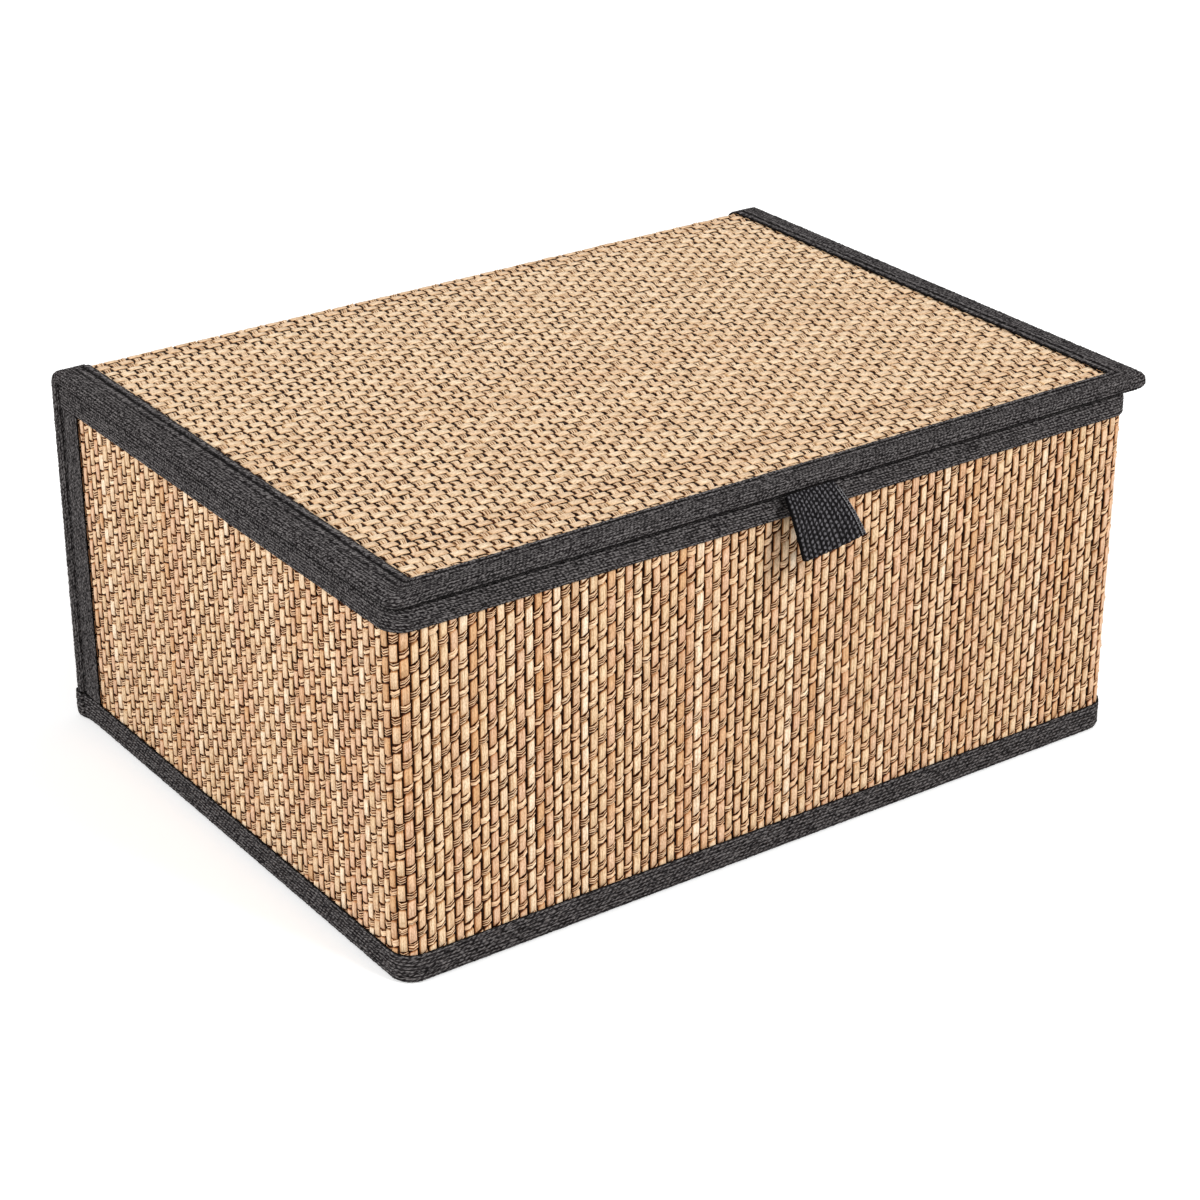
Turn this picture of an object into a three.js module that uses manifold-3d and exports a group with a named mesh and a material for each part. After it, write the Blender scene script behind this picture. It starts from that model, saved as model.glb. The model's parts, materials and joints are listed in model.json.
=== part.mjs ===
// A lidded storage box of woven bamboo mat on thin boards, bound with folded black cotton tape.
// The lid, the hinge and the back are one strip of mat, so the lid swings on the mat's own bend.
// Millimetres. +X is the box's right, -Y its front, +Z up. The origin is the middle of its underside.
import * as THREE from "three";
import { mergeVertices } from "three/addons/utils/BufferGeometryUtils.js";
import Module from "manifold-3d";

const wasm = await Module();
wasm.setup();

// Overall sizes, over the tapes
const bodyWidth = 340;
const bodyDepth = 254;
const totalHeight = 154;
const frontCornerRadius = 9;

// The strip of lid, hinge and back is a little wider than the body and longer than its depth
const lidLeftOverhang = 1;
const lidRightOverhang = 8;
const lidFrontOverhang = 1;
const lidCornerRadius = 5;
const hingeRadius = 5.5;

// Layers of a panel, from outside to inside, and the gap kept between pieces that touch
const tapeThickness = 0.6;
const matThickness = 1.6;
const boardThickness = 1.3;
const liningThickness = 0.4;
const layerGap = 0.3;

// The mat's sticks, and the groove between each two on the mat's outer face
const stickPitch = 3.88;
const grooveWidth = 1.1;
const grooveFloorWidth = 0.5;
const grooveDepth = 0.8;

// Layers of the bottom
const undersideThickness = 0.6;
const bottomBoardThickness = 2;

// How a tape folds round the edge of a panel
const foldRadius = 2.4;
const foldThickness = 1.4;

// Widths of the tapes' legs
const lidBand = 13;
const rimBand = 8.5;
const baseBand = 12;
const baseTurnUnder = 9;
const rearBand = 13.5;
const backBand = 13.5;

// Clearances
const rearSeam = 0.6;
const lidRestClearance = 0.3;

// The pull tab, a folded tape that leaves the lid's front edge and droops
const tabWidth = 25.5;
const tabLength = 25;
const tabThickness = 1.8;
const tabOffset = 0;
const tabStartAngle = THREE.MathUtils.degToRad(37);
const tabEndAngle = THREE.MathUtils.degToRad(72);
const tabSeatAngle = THREE.MathUtils.degToRad(30);

// Facets on a rounded corner and on a fold, and how far a cutter runs past what it cuts
const cornerSegments = 8;
const foldSegments = 5;
const bendSegments = 48;
const overrun = 5;

// Depths below a panel's outer tape face
const tapeStep = tapeThickness + layerGap;
const matInside = tapeStep + matThickness;
const boardOutside = matInside + layerGap;
const boardInside = boardOutside + boardThickness;
const liningOutside = boardInside + layerGap;
const liningInside = liningOutside + liningThickness;
const panelThickness = liningInside + tapeStep;
const cavityInside = panelThickness - tapeThickness;
const edgeInset = foldThickness + layerGap;

// Planes that pieces share
const sideX = bodyWidth / 2;
const frontY = -bodyDepth / 2;
const backY = bodyDepth / 2;
const backInsideY = backY - panelThickness;
const wallEndY = backInsideY - rearSeam;
const wallLayersEndY = wallEndY - edgeInset;
const panelLeftX = -sideX - lidLeftOverhang;
const panelRightX = sideX + lidRightOverhang;
const lidFrontY = frontY - lidFrontOverhang;
const lidUndersideZ = totalHeight - panelThickness;
const rimTopZ = lidUndersideZ - lidRestClearance;
const wallLayersTopZ = rimTopZ - tapeStep;
const bottomBoardZ = undersideThickness + layerGap;
const bottomBoardTopZ = bottomBoardZ + bottomBoardThickness;
const floorLiningZ = bottomBoardTopZ + layerGap;
const floorTopZ = floorLiningZ + liningThickness;
const hingeY = backY - tapeStep - hingeRadius;
const hingeZ = totalHeight - tapeStep - hingeRadius;
const lidLayersEndY = hingeY - layerGap;
const backLayersTopZ = hingeZ - layerGap;
const wallLayersZ = undersideThickness + layerGap;

// Lengths along the mat's outer face: the hinge bend, the lid in front of it and the back below it
const bendRun = 0.5 * Math.PI * hingeRadius;
const lidRun = hingeY - lidFrontY - edgeInset;
const backRun = hingeZ - wallLayersZ;

// Materials
const finishes = {
  bamboo: { color: 0xd9b183, roughness: 0.62, metalness: 0 },
  tape: { color: 0x3b3a3a, roughness: 0.88, metalness: 0 },
  board: { color: 0xb59b78, roughness: 0.9, metalness: 0 },
  lining: { color: 0x393737, roughness: 0.92, metalness: 0 },
};

// A three.js geometry as a solid that can be joined and cut
function solid(geometry) {
  const bare = geometry.clone();
  bare.deleteAttribute("normal");
  bare.deleteAttribute("uv");
  const merged = mergeVertices(bare);
  const vertProperties = merged.attributes.position.array;
  const triVerts = new Uint32Array(merged.index.array);
  return new wasm.Manifold(new wasm.Mesh({ numProp: 3, vertProperties, triVerts }));
}

// A solid as a named mesh with its own material
function piece(name, body, finish) {
  const { vertProperties, triVerts } = body.getMesh();
  const geometry = new THREE.BufferGeometry();
  geometry.setAttribute("position", new THREE.BufferAttribute(vertProperties, 3));
  geometry.setIndex(new THREE.BufferAttribute(triVerts, 1));
  geometry.computeVertexNormals();
  const mesh = new THREE.Mesh(geometry, new THREE.MeshStandardMaterial(finishes[finish]));
  mesh.name = name;
  return mesh;
}

// A block between two corners
function block(x0, x1, y0, y1, z0, z1) {
  const geometry = new THREE.BoxGeometry(x1 - x0, y1 - y0, z1 - z0);
  geometry.translate((x0 + x1) / 2, (y0 + y1) / 2, (z0 + z1) / 2);
  return solid(geometry);
}

// A plan outline extruded upwards
function slab(shape, z0, z1) {
  const options = { depth: z1 - z0, bevelEnabled: false, curveSegments: cornerSegments };
  const geometry = new THREE.ExtrudeGeometry(shape, options);
  geometry.translate(0, 0, z0);
  return solid(geometry);
}

// A plan with square rear corners and rounded front ones
function roundedPlan(x0, x1, y0, y1, radius) {
  const shape = new THREE.Shape();
  shape.moveTo(x0, y1);
  if (radius > 0) {
    shape.lineTo(x0, y0 + radius);
    shape.absarc(x0 + radius, y0 + radius, radius, Math.PI, 1.5 * Math.PI, false);
    shape.lineTo(x1 - radius, y0);
    shape.absarc(x1 - radius, y0 + radius, radius, -0.5 * Math.PI, 0, false);
  } else {
    shape.lineTo(x0, y0);
    shape.lineTo(x1, y0);
  }
  shape.lineTo(x1, y1);
  return shape;
}

// The body's plan, drawn in by an inset on its left, front and right
function bodyPlan(inset, rearY) {
  const radius = frontCornerRadius - inset;
  return roundedPlan(-sideX + inset, sideX - inset, frontY + inset, rearY, radius);
}

// The lid's plan, drawn in by an inset on its left, front and right
function lidPlan(inset, rearY) {
  const radius = lidCornerRadius - inset;
  return roundedPlan(panelLeftX + inset, panelRightX - inset, lidFrontY + inset, rearY, radius);
}

// A layer that runs round the left, front and right walls between two insets
function wallLayer(outerInset, innerInset, rearY, z0, z1) {
  const outer = slab(bodyPlan(outerInset, rearY), z0, z1);
  const inner = slab(bodyPlan(innerInset, rearY + overrun), z0 - overrun, z1 + overrun);
  return outer.subtract(inner);
}

// The section of a tape folded round a panel's edge. First coordinate: inwards from the edge.
// Second coordinate: depth below the panel's outer face.
function foldSection(band) {
  const farRound = panelThickness - foldRadius;
  const shape = new THREE.Shape();
  shape.moveTo(band, 0);
  shape.lineTo(band, tapeThickness);
  shape.lineTo(foldThickness, tapeThickness);
  shape.lineTo(foldThickness, cavityInside);
  shape.lineTo(band, cavityInside);
  shape.lineTo(band, panelThickness);
  shape.absarc(foldRadius, farRound, foldRadius, 0.5 * Math.PI, Math.PI, false);
  shape.absarc(foldRadius, foldRadius, foldRadius, Math.PI, 1.5 * Math.PI, false);
  shape.closePath();
  return shape;
}

// A folded tape along an upright edge. The section's first direction is inward and its second is deeper.
function uprightTape(band, edge, inward, deeper, z0, z1) {
  const section = foldSection(band);
  const flat = section.extractPoints(foldSegments).shape.map((point) => {
    const x = edge.x + inward.x * point.x + deeper.x * point.y;
    const y = edge.y + inward.y * point.x + deeper.y * point.y;
    return new THREE.Vector2(x, y);
  });
  return slab(new THREE.Shape(flat), z0, z1);
}

// A side outline in (-Y, Z) extruded along X
function crosswise(shape, x0, x1) {
  const options = { depth: x1 - x0, bevelEnabled: false, curveSegments: cornerSegments };
  const geometry = new THREE.ExtrudeGeometry(shape, options);
  geometry.rotateX(Math.PI / 2);
  geometry.rotateZ(-Math.PI / 2);
  geometry.translate(x1, 0, 0);
  return solid(geometry);
}

// The sections of the grooves between sticks. A mark is a point on the mat's face and the way into the mat.
function grooveSections(marks) {
  const steps = [[grooveWidth, -overrun], [grooveWidth, 0], [grooveFloorWidth, grooveDepth]];
  return marks.map(({ at, inward }) => {
    const across = new THREE.Vector2(-inward.y, inward.x);
    const middle = (depth) => at.clone().addScaledVector(inward, depth);
    const near = steps.map(([width, depth]) => middle(depth).addScaledVector(across, width / 2));
    const far = steps.map(([width, depth]) => middle(depth).addScaledVector(across, -width / 2));
    return new THREE.Shape([...near, ...far.reverse()]);
  });
}

// The grooves round the walls, in even steps near the stick pitch from the left rear edge to the right one
function wallGrooves() {
  const face = bodyPlan(tapeStep, wallLayersEndY);
  const sticks = Math.round(face.getLength() / stickPitch);
  const marks = [];
  for (let k = 1; k < sticks; k += 1) {
    const along = face.getTangent(k / sticks);
    marks.push({ at: face.getPoint(k / sticks), inward: new THREE.Vector2(-along.y, along.x) });
  }
  return slab(grooveSections(marks), wallLayersZ - overrun, wallLayersTopZ + overrun);
}

// A mark on the strip of lid, bend and back. Its run starts in the middle of the bend, and is positive
// towards the back.
function stripMark(run) {
  const bent = THREE.MathUtils.clamp(run, -bendRun / 2, bendRun / 2);
  const turn = 0.25 * Math.PI + bent / hingeRadius;
  const outward = new THREE.Vector2(-Math.sin(turn), Math.cos(turn));
  const onward = new THREE.Vector2(-Math.cos(turn), -Math.sin(turn));
  const at = new THREE.Vector2(-hingeY, hingeZ);
  at.addScaledVector(outward, hingeRadius).addScaledVector(onward, run - bent);
  return { at, inward: outward.negate() };
}

// The grooves across the strip, one stick pitch apart, with a stick over the middle of the bend
function stripGrooves() {
  const marks = [];
  const end = (bendRun - stickPitch) / 2;
  for (let run = stickPitch / 2; run < lidRun + end; run += stickPitch) marks.push(stripMark(-run));
  for (let run = stickPitch / 2; run < backRun + end; run += stickPitch) marks.push(stripMark(run));
  return crosswise(grooveSections(marks), panelLeftX, panelRightX);
}

// A ring about the hinge bend's centre line, cut to the quarter that joins the lid to the back
function bendQuarter(profile, x0, x1) {
  const geometry = new THREE.LatheGeometry(profile, bendSegments);
  geometry.rotateZ(-Math.PI / 2);
  geometry.translate(0, hingeY, hingeZ);
  const reach = hingeRadius + tapeStep + overrun;
  const quarter = block(x0 - overrun, x1 + overrun, hingeY, hingeY + reach, hingeZ, hingeZ + reach);
  return solid(geometry).intersect(quarter);
}

// The radius, about the hinge bend's centre line, of a depth below the outer tape face
function bendRadius(depth) {
  return hingeRadius + tapeStep - depth;
}

// A layer of the hinge bend between two depths, over the whole panel between its side tapes
function bendLayer(outside, inside) {
  const x0 = panelLeftX + edgeInset;
  const x1 = panelRightX - edgeInset;
  const outer = bendRadius(outside);
  const inner = bendRadius(inside);
  const corners = [[inner, x0], [outer, x0], [outer, x1], [inner, x1], [inner, x0]];
  return bendQuarter(corners.map(([radius, x]) => new THREE.Vector2(radius, x)), x0, x1);
}

// A side tape of the hinge bend. inward is 1 at the left edge and -1 at the right one.
function bendTape(edgeX, inward) {
  const points = foldSection(backBand).extractPoints(foldSegments).shape;
  const profile = points.map((point) => {
    return new THREE.Vector2(bendRadius(point.y), edgeX + inward * point.x);
  });
  profile.push(profile[0].clone());
  if (inward < 0) profile.reverse();
  const farX = edgeX + inward * backBand;
  return bendQuarter(profile, Math.min(edgeX, farX), Math.max(edgeX, farX));
}

// Bottom
function undersideCloth() {
  const inset = baseTurnUnder + layerGap;
  return slab(bodyPlan(inset, backY - inset), 0, undersideThickness);
}

function bottomBoard() {
  return slab(bodyPlan(boardOutside, backY - boardOutside), bottomBoardZ, bottomBoardTopZ);
}

function floorLining() {
  return slab(bodyPlan(liningOutside, backY - liningOutside), floorLiningZ, floorTopZ);
}

// Walls
function frontBoard() {
  const x = sideX - frontCornerRadius;
  const y = frontY + boardOutside;
  return block(-x, x, y, y + boardThickness, floorLiningZ, wallLayersTopZ);
}

function sideBoard(side) {
  const near = side * (sideX - boardInside);
  const far = side * (sideX - boardOutside);
  const y0 = frontY + frontCornerRadius;
  const x0 = Math.min(near, far);
  return block(x0, x0 + boardThickness, y0, wallLayersEndY, floorLiningZ, wallLayersTopZ);
}

function wallMat() {
  return wallLayer(tapeStep, matInside, wallLayersEndY, wallLayersZ, wallLayersTopZ).subtract(wallGrooves());
}

function wallLining() {
  return wallLayer(liningOutside, liningInside, wallLayersEndY, floorTopZ + layerGap, wallLayersTopZ);
}

function rimTape() {
  const z0 = rimTopZ - rimBand;
  const foldZ = rimTopZ - tapeThickness;
  const whole = wallLayer(0, panelThickness, wallEndY, z0, rimTopZ);
  const cavity = wallLayer(tapeThickness, cavityInside, wallEndY + overrun, z0 - overrun, foldZ);
  return whole.subtract(cavity);
}

function rearTape(side) {
  const edge = new THREE.Vector2(side * sideX, wallEndY);
  const inward = new THREE.Vector2(0, -1);
  const deeper = new THREE.Vector2(-side, 0);
  return uprightTape(rearBand, edge, inward, deeper, baseBand + layerGap, rimTopZ - rimBand - layerGap);
}

// The body's plan with the wider back panel behind it, drawn in by an inset all round
function footprint(inset) {
  const stepY = backInsideY + inset;
  const shape = bodyPlan(inset, stepY);
  shape.lineTo(panelRightX - inset, stepY);
  shape.lineTo(panelRightX - inset, backY - inset);
  shape.lineTo(panelLeftX + inset, backY - inset);
  shape.lineTo(panelLeftX + inset, stepY);
  return shape;
}

function baseTape() {
  const whole = slab(footprint(0), 0, baseBand);
  const cavity = slab(footprint(tapeThickness), undersideThickness, baseBand + overrun);
  const window = slab(bodyPlan(baseTurnUnder, backY - baseTurnUnder), -overrun, baseBand);
  return whole.subtract(cavity).subtract(window);
}

// Back panel
function backLayer(outside, inside, z0) {
  const x0 = panelLeftX + edgeInset;
  const x1 = panelRightX - edgeInset;
  return block(x0, x1, backY - inside, backY - outside, z0, backLayersTopZ);
}

function backTape(edgeX, inwardX) {
  const edge = new THREE.Vector2(edgeX, backY);
  const inward = new THREE.Vector2(inwardX, 0);
  const deeper = new THREE.Vector2(0, -1);
  return uprightTape(backBand, edge, inward, deeper, baseBand + layerGap, backLayersTopZ);
}

// Lid
function lidLayer(outside, inside) {
  return slab(lidPlan(edgeInset, lidLayersEndY), totalHeight - inside, totalHeight - outside);
}

function lidTape() {
  const options = {
    depth: panelThickness - 2 * foldRadius,
    bevelThickness: foldRadius,
    bevelSize: foldRadius,
    bevelOffset: -foldRadius,
    bevelSegments: foldSegments,
    curveSegments: cornerSegments,
  };
  const rounded = new THREE.ExtrudeGeometry(lidPlan(0, lidLayersEndY + foldRadius + overrun), options);
  rounded.translate(0, 0, lidUndersideZ + foldRadius);
  const x0 = panelLeftX - overrun;
  const x1 = panelRightX + overrun;
  const y0 = lidFrontY - overrun;
  const whole = solid(rounded).intersect(block(x0, x1, y0, lidLayersEndY, 0, totalHeight + overrun));
  const rearY = lidLayersEndY + overrun;
  const cavity = slab(lidPlan(foldThickness, rearY), totalHeight - cavityInside, totalHeight - tapeThickness);
  const window = slab(lidPlan(lidBand, rearY), lidUndersideZ - overrun, totalHeight + overrun);
  return whole.subtract(cavity).subtract(window);
}

// The tab's pivot lies just off the lid's rounded front edge, where the tab is sewn on
function pullTab() {
  const half = tabThickness / 2;
  const seat = foldRadius + layerGap + half;
  const pivotY = lidFrontY + foldRadius - seat * Math.cos(tabSeatAngle);
  const pivotZ = lidUndersideZ + foldRadius - seat * Math.sin(tabSeatAngle);
  const bend = tabLength / (tabEndAngle - tabStartAngle);
  const centreX = -pivotY - bend * Math.sin(tabStartAngle);
  const centreZ = pivotZ - bend * Math.cos(tabStartAngle);
  const start = 0.5 * Math.PI - tabStartAngle;
  const end = 0.5 * Math.PI - tabEndAngle;
  const tipX = centreX + bend * Math.cos(end);
  const tipZ = centreZ + bend * Math.sin(end);
  const shape = new THREE.Shape();
  shape.absarc(-pivotY, pivotZ, half, start + Math.PI, start, true);
  shape.absarc(centreX, centreZ, bend + half, start, end, true);
  shape.absarc(tipX, tipZ, half, end, end - Math.PI, true);
  shape.absarc(centreX, centreZ, bend - half, end, start, false);
  shape.closePath();
  const middleX = (panelLeftX + panelRightX) / 2 + tabOffset;
  return crosswise(shape, middleX - tabWidth / 2, middleX + tabWidth / 2);
}

// The strip's mat, whose grooves run on from the lid over the bend and down the back
const strip = stripGrooves();
const backMat = backLayer(tapeStep, matInside, wallLayersZ).subtract(strip);
const hingeMat = bendLayer(tapeStep, matInside).subtract(strip);
const lidMat = lidLayer(tapeStep, matInside).subtract(strip);

const group = new THREE.Group();

// The bottom, the walls and the back stand still
const body = new THREE.Group();
body.add(piece("underside_cloth", undersideCloth(), "lining"));
body.add(piece("bottom_board", bottomBoard(), "board"));
body.add(piece("floor_lining", floorLining(), "lining"));
body.add(piece("front_board", frontBoard(), "board"));
body.add(piece("left_board", sideBoard(-1), "board"));
body.add(piece("right_board", sideBoard(1), "board"));
body.add(piece("wall_mat", wallMat(), "bamboo"));
body.add(piece("wall_lining", wallLining(), "lining"));
body.add(piece("rim_tape", rimTape(), "tape"));
body.add(piece("base_tape", baseTape(), "tape"));
body.add(piece("left_rear_tape", rearTape(-1), "tape"));
body.add(piece("right_rear_tape", rearTape(1), "tape"));
body.add(piece("back_board", backLayer(boardOutside, boardInside, floorLiningZ), "board"));
body.add(piece("back_mat", backMat, "bamboo"));
body.add(piece("back_lining", backLayer(liningOutside, liningInside, floorTopZ + layerGap), "lining"));
body.add(piece("back_left_tape", backTape(panelLeftX, 1), "tape"));
body.add(piece("back_right_tape", backTape(panelRightX, -1), "tape"));
group.add(body);

// The bend between the back and the lid, which flexes as the lid swings
const hinge = new THREE.Group();
hinge.add(piece("hinge_mat", hingeMat, "bamboo"));
hinge.add(piece("hinge_lining", bendLayer(liningOutside, liningInside), "lining"));
hinge.add(piece("hinge_left_tape", bendTape(panelLeftX, 1), "tape"));
hinge.add(piece("hinge_right_tape", bendTape(panelRightX, -1), "tape"));
group.add(hinge);

// The lid and the tab sewn to it
const lid = new THREE.Group();
lid.add(piece("lid_mat", lidMat, "bamboo"));
lid.add(piece("lid_board", lidLayer(boardOutside, boardInside), "board"));
lid.add(piece("lid_lining", lidLayer(liningOutside, liningInside), "lining"));
lid.add(piece("lid_tape", lidTape(), "tape"));
lid.add(piece("pull_tab", pullTab(), "tape"));
group.add(lid);

export default group;
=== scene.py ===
import json
import math

import bpy
import numpy as np
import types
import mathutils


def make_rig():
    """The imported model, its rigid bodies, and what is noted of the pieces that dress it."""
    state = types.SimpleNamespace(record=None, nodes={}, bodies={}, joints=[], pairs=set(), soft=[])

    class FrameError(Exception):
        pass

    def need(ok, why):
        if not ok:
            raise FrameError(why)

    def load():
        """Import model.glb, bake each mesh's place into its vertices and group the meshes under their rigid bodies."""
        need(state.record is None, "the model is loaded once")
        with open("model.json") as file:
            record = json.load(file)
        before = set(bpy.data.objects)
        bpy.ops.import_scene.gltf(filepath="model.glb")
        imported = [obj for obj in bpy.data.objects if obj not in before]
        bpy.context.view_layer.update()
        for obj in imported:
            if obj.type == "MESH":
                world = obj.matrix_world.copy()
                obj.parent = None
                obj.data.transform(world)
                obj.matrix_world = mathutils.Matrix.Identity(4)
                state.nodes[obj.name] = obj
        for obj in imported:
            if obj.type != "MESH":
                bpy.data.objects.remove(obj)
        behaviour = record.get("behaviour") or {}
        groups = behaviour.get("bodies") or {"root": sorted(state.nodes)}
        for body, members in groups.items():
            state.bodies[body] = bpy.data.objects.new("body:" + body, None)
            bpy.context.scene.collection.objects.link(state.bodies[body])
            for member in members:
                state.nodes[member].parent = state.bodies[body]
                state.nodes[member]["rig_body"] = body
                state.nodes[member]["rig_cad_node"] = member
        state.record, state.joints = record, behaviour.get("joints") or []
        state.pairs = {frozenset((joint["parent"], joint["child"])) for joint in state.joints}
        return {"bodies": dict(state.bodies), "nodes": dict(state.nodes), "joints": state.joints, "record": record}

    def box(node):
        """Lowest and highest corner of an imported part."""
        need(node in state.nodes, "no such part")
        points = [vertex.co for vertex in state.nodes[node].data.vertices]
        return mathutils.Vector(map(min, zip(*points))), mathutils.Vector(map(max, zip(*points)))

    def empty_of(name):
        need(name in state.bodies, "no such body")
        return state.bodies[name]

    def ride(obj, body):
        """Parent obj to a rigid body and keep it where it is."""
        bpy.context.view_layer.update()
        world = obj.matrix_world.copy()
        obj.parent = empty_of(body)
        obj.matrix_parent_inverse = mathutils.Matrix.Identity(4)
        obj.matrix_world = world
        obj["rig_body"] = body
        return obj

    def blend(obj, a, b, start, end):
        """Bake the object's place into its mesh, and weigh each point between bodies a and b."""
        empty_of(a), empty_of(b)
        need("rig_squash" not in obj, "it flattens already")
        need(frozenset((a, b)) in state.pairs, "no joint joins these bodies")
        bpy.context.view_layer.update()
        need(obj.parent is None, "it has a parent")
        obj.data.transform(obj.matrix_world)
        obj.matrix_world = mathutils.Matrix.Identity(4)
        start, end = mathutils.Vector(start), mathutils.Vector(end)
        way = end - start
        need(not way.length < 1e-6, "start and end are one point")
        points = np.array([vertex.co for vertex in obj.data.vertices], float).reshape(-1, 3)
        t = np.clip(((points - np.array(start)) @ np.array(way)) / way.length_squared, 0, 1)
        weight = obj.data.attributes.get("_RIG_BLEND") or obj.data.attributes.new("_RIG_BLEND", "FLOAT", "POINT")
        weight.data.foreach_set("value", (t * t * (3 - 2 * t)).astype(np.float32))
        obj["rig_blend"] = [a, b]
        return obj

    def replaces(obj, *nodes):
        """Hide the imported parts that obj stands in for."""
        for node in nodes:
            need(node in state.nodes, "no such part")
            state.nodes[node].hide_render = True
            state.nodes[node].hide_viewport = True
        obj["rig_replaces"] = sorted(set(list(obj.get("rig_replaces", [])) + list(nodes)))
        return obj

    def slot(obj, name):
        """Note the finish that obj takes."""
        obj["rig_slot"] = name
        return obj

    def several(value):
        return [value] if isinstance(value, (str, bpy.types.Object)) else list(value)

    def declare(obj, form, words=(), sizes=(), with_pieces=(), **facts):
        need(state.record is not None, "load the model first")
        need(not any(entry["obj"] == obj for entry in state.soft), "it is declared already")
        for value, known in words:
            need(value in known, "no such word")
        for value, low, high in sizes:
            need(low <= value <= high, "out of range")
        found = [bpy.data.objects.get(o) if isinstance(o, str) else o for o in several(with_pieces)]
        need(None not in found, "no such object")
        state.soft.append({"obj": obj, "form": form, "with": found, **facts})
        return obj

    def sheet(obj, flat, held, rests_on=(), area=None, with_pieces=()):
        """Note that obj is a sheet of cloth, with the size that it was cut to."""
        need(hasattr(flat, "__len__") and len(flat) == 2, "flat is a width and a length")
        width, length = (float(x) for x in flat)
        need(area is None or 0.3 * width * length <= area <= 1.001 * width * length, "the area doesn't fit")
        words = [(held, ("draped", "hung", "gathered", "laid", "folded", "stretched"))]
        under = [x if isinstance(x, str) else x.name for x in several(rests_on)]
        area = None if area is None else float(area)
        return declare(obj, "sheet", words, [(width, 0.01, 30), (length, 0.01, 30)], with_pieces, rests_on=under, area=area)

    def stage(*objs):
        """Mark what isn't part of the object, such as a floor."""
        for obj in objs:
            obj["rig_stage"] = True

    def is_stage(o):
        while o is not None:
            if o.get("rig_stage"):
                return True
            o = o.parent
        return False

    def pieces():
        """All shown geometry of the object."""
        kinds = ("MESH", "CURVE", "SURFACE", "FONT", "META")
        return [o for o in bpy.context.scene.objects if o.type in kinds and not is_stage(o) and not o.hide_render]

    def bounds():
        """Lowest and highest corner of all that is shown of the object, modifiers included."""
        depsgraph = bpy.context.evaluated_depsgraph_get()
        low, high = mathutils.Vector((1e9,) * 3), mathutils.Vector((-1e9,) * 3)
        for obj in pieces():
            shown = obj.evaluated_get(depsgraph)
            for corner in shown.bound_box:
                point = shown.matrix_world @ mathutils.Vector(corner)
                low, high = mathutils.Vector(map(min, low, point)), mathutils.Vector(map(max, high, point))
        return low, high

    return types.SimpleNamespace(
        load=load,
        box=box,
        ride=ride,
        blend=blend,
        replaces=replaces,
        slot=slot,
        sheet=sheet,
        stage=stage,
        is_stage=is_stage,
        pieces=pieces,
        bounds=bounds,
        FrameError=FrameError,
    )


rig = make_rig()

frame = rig.load()
cad_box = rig.bounds()
random = np.random.default_rng(7)

MM = 0.001
QUARTER = math.pi / 2

# Places taken from the frame
LID_LOW, LID_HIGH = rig.box("lid_tape")
LID_MAT_LOW, LID_MAT_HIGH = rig.box("lid_mat")
RIM_LOW, RIM_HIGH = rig.box("rim_tape")
BASE_LOW, BASE_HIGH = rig.box("base_tape")
WALL_LOW, WALL_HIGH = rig.box("wall_mat")
BEND_LOW, BEND_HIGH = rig.box("hinge_mat")
REAR_LOW, REAR_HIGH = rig.box("left_rear_tape")
TAB_LOW, TAB_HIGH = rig.box("pull_tab")
TAB_JOINT = next(joint for joint in frame["joints"] if joint["name"] == "tab_flex")

BACK = BASE_HIGH.y
SIDE = RIM_HIGH.x
SIDE_FRONT = -RIM_LOW.y
PANEL = LID_HIGH.z - LID_LOW.z
MAT_DEPTH = LID_HIGH.z - LID_MAT_HIGH.z
BEND_Y = BEND_LOW.y
BEND_Z = BEND_LOW.z
BEND_RADIUS = BEND_HIGH.y - BEND_LOW.y
TAPE_BEND_RADIUS = BEND_RADIUS + MAT_DEPTH
TAB_HALF = (TAB_HIGH.x - TAB_LOW.x) / 2

# Rounded corners and folds, as on the frame
WALL_CORNER = 9 * MM
LID_CORNER = 5 * MM
BAND_CORNER = 0.8 * MM
STEP_CORNER = 1.2 * MM
NOTCH_CORNER = 0.5 * MM
FOLD_RADIUS = 2.4 * MM
TAPE_THICKNESS = 0.6 * MM
FOLD_THICKNESS = 1.4 * MM
FOLD_CORNER = 2.24 * MM
FOOT_CORNER = 0.9 * MM
LID_BAND = 13 * MM
LID_LEFT_BAND = 15 * MM
LID_FRONT_BAND = 11 * MM
REAR_BAND = 13.5 * MM
BASE_TURN_UNDER = 9 * MM
FOOT_BULGE = 0.8 * MM
FOOT_BULGE_REACH = 11 * MM

# Runs over the mats: round the three walls, and from the lid's front edge over the bend and down the back
SIDE_RUN = WALL_HIGH.y + SIDE_FRONT - WALL_CORNER
CORNER_RUN = (WALL_CORNER - MAT_DEPTH) * QUARTER
FRONT_RUN = 2 * (SIDE - WALL_CORNER)
WALLS_RUN = 2 * SIDE_RUN + 2 * CORNER_RUN + FRONT_RUN
LEFT_RUN = SIDE_RUN + CORNER_RUN / 2
LID_RUN = BEND_Y - LID_MAT_LOW.y
BEND_RUN = BEND_RADIUS * QUARTER
STRIP_RUN = LID_RUN + BEND_RUN + BEND_Z - WALL_LOW.z

# The mat's weave
STICK_PITCH = 3.88 * MM
WRAP_PERIOD = 10.5 * MM
STICK_THICKNESS = 0.85 * MM
STICK_DIP = 0.6 * MM
STICK_END = 1.2 * MM
WRAP_WIDTH = 2.75 * MM
STICK_SEED = 0.37
WRAP_SEED = 0.73
# A dark sheet under the sticks, painted shade for the gaps between them
GAP_SHADE_DEPTH = 1.35 * MM
GAP_SHADE_THICKNESS = 0.25 * MM
GAP_SHADE_STEP = 10 * MM
WALL_GAP_SHADE_STEP = 1.3 * MM
GAP_SHADE_LENGTH = 20 * MM

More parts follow.
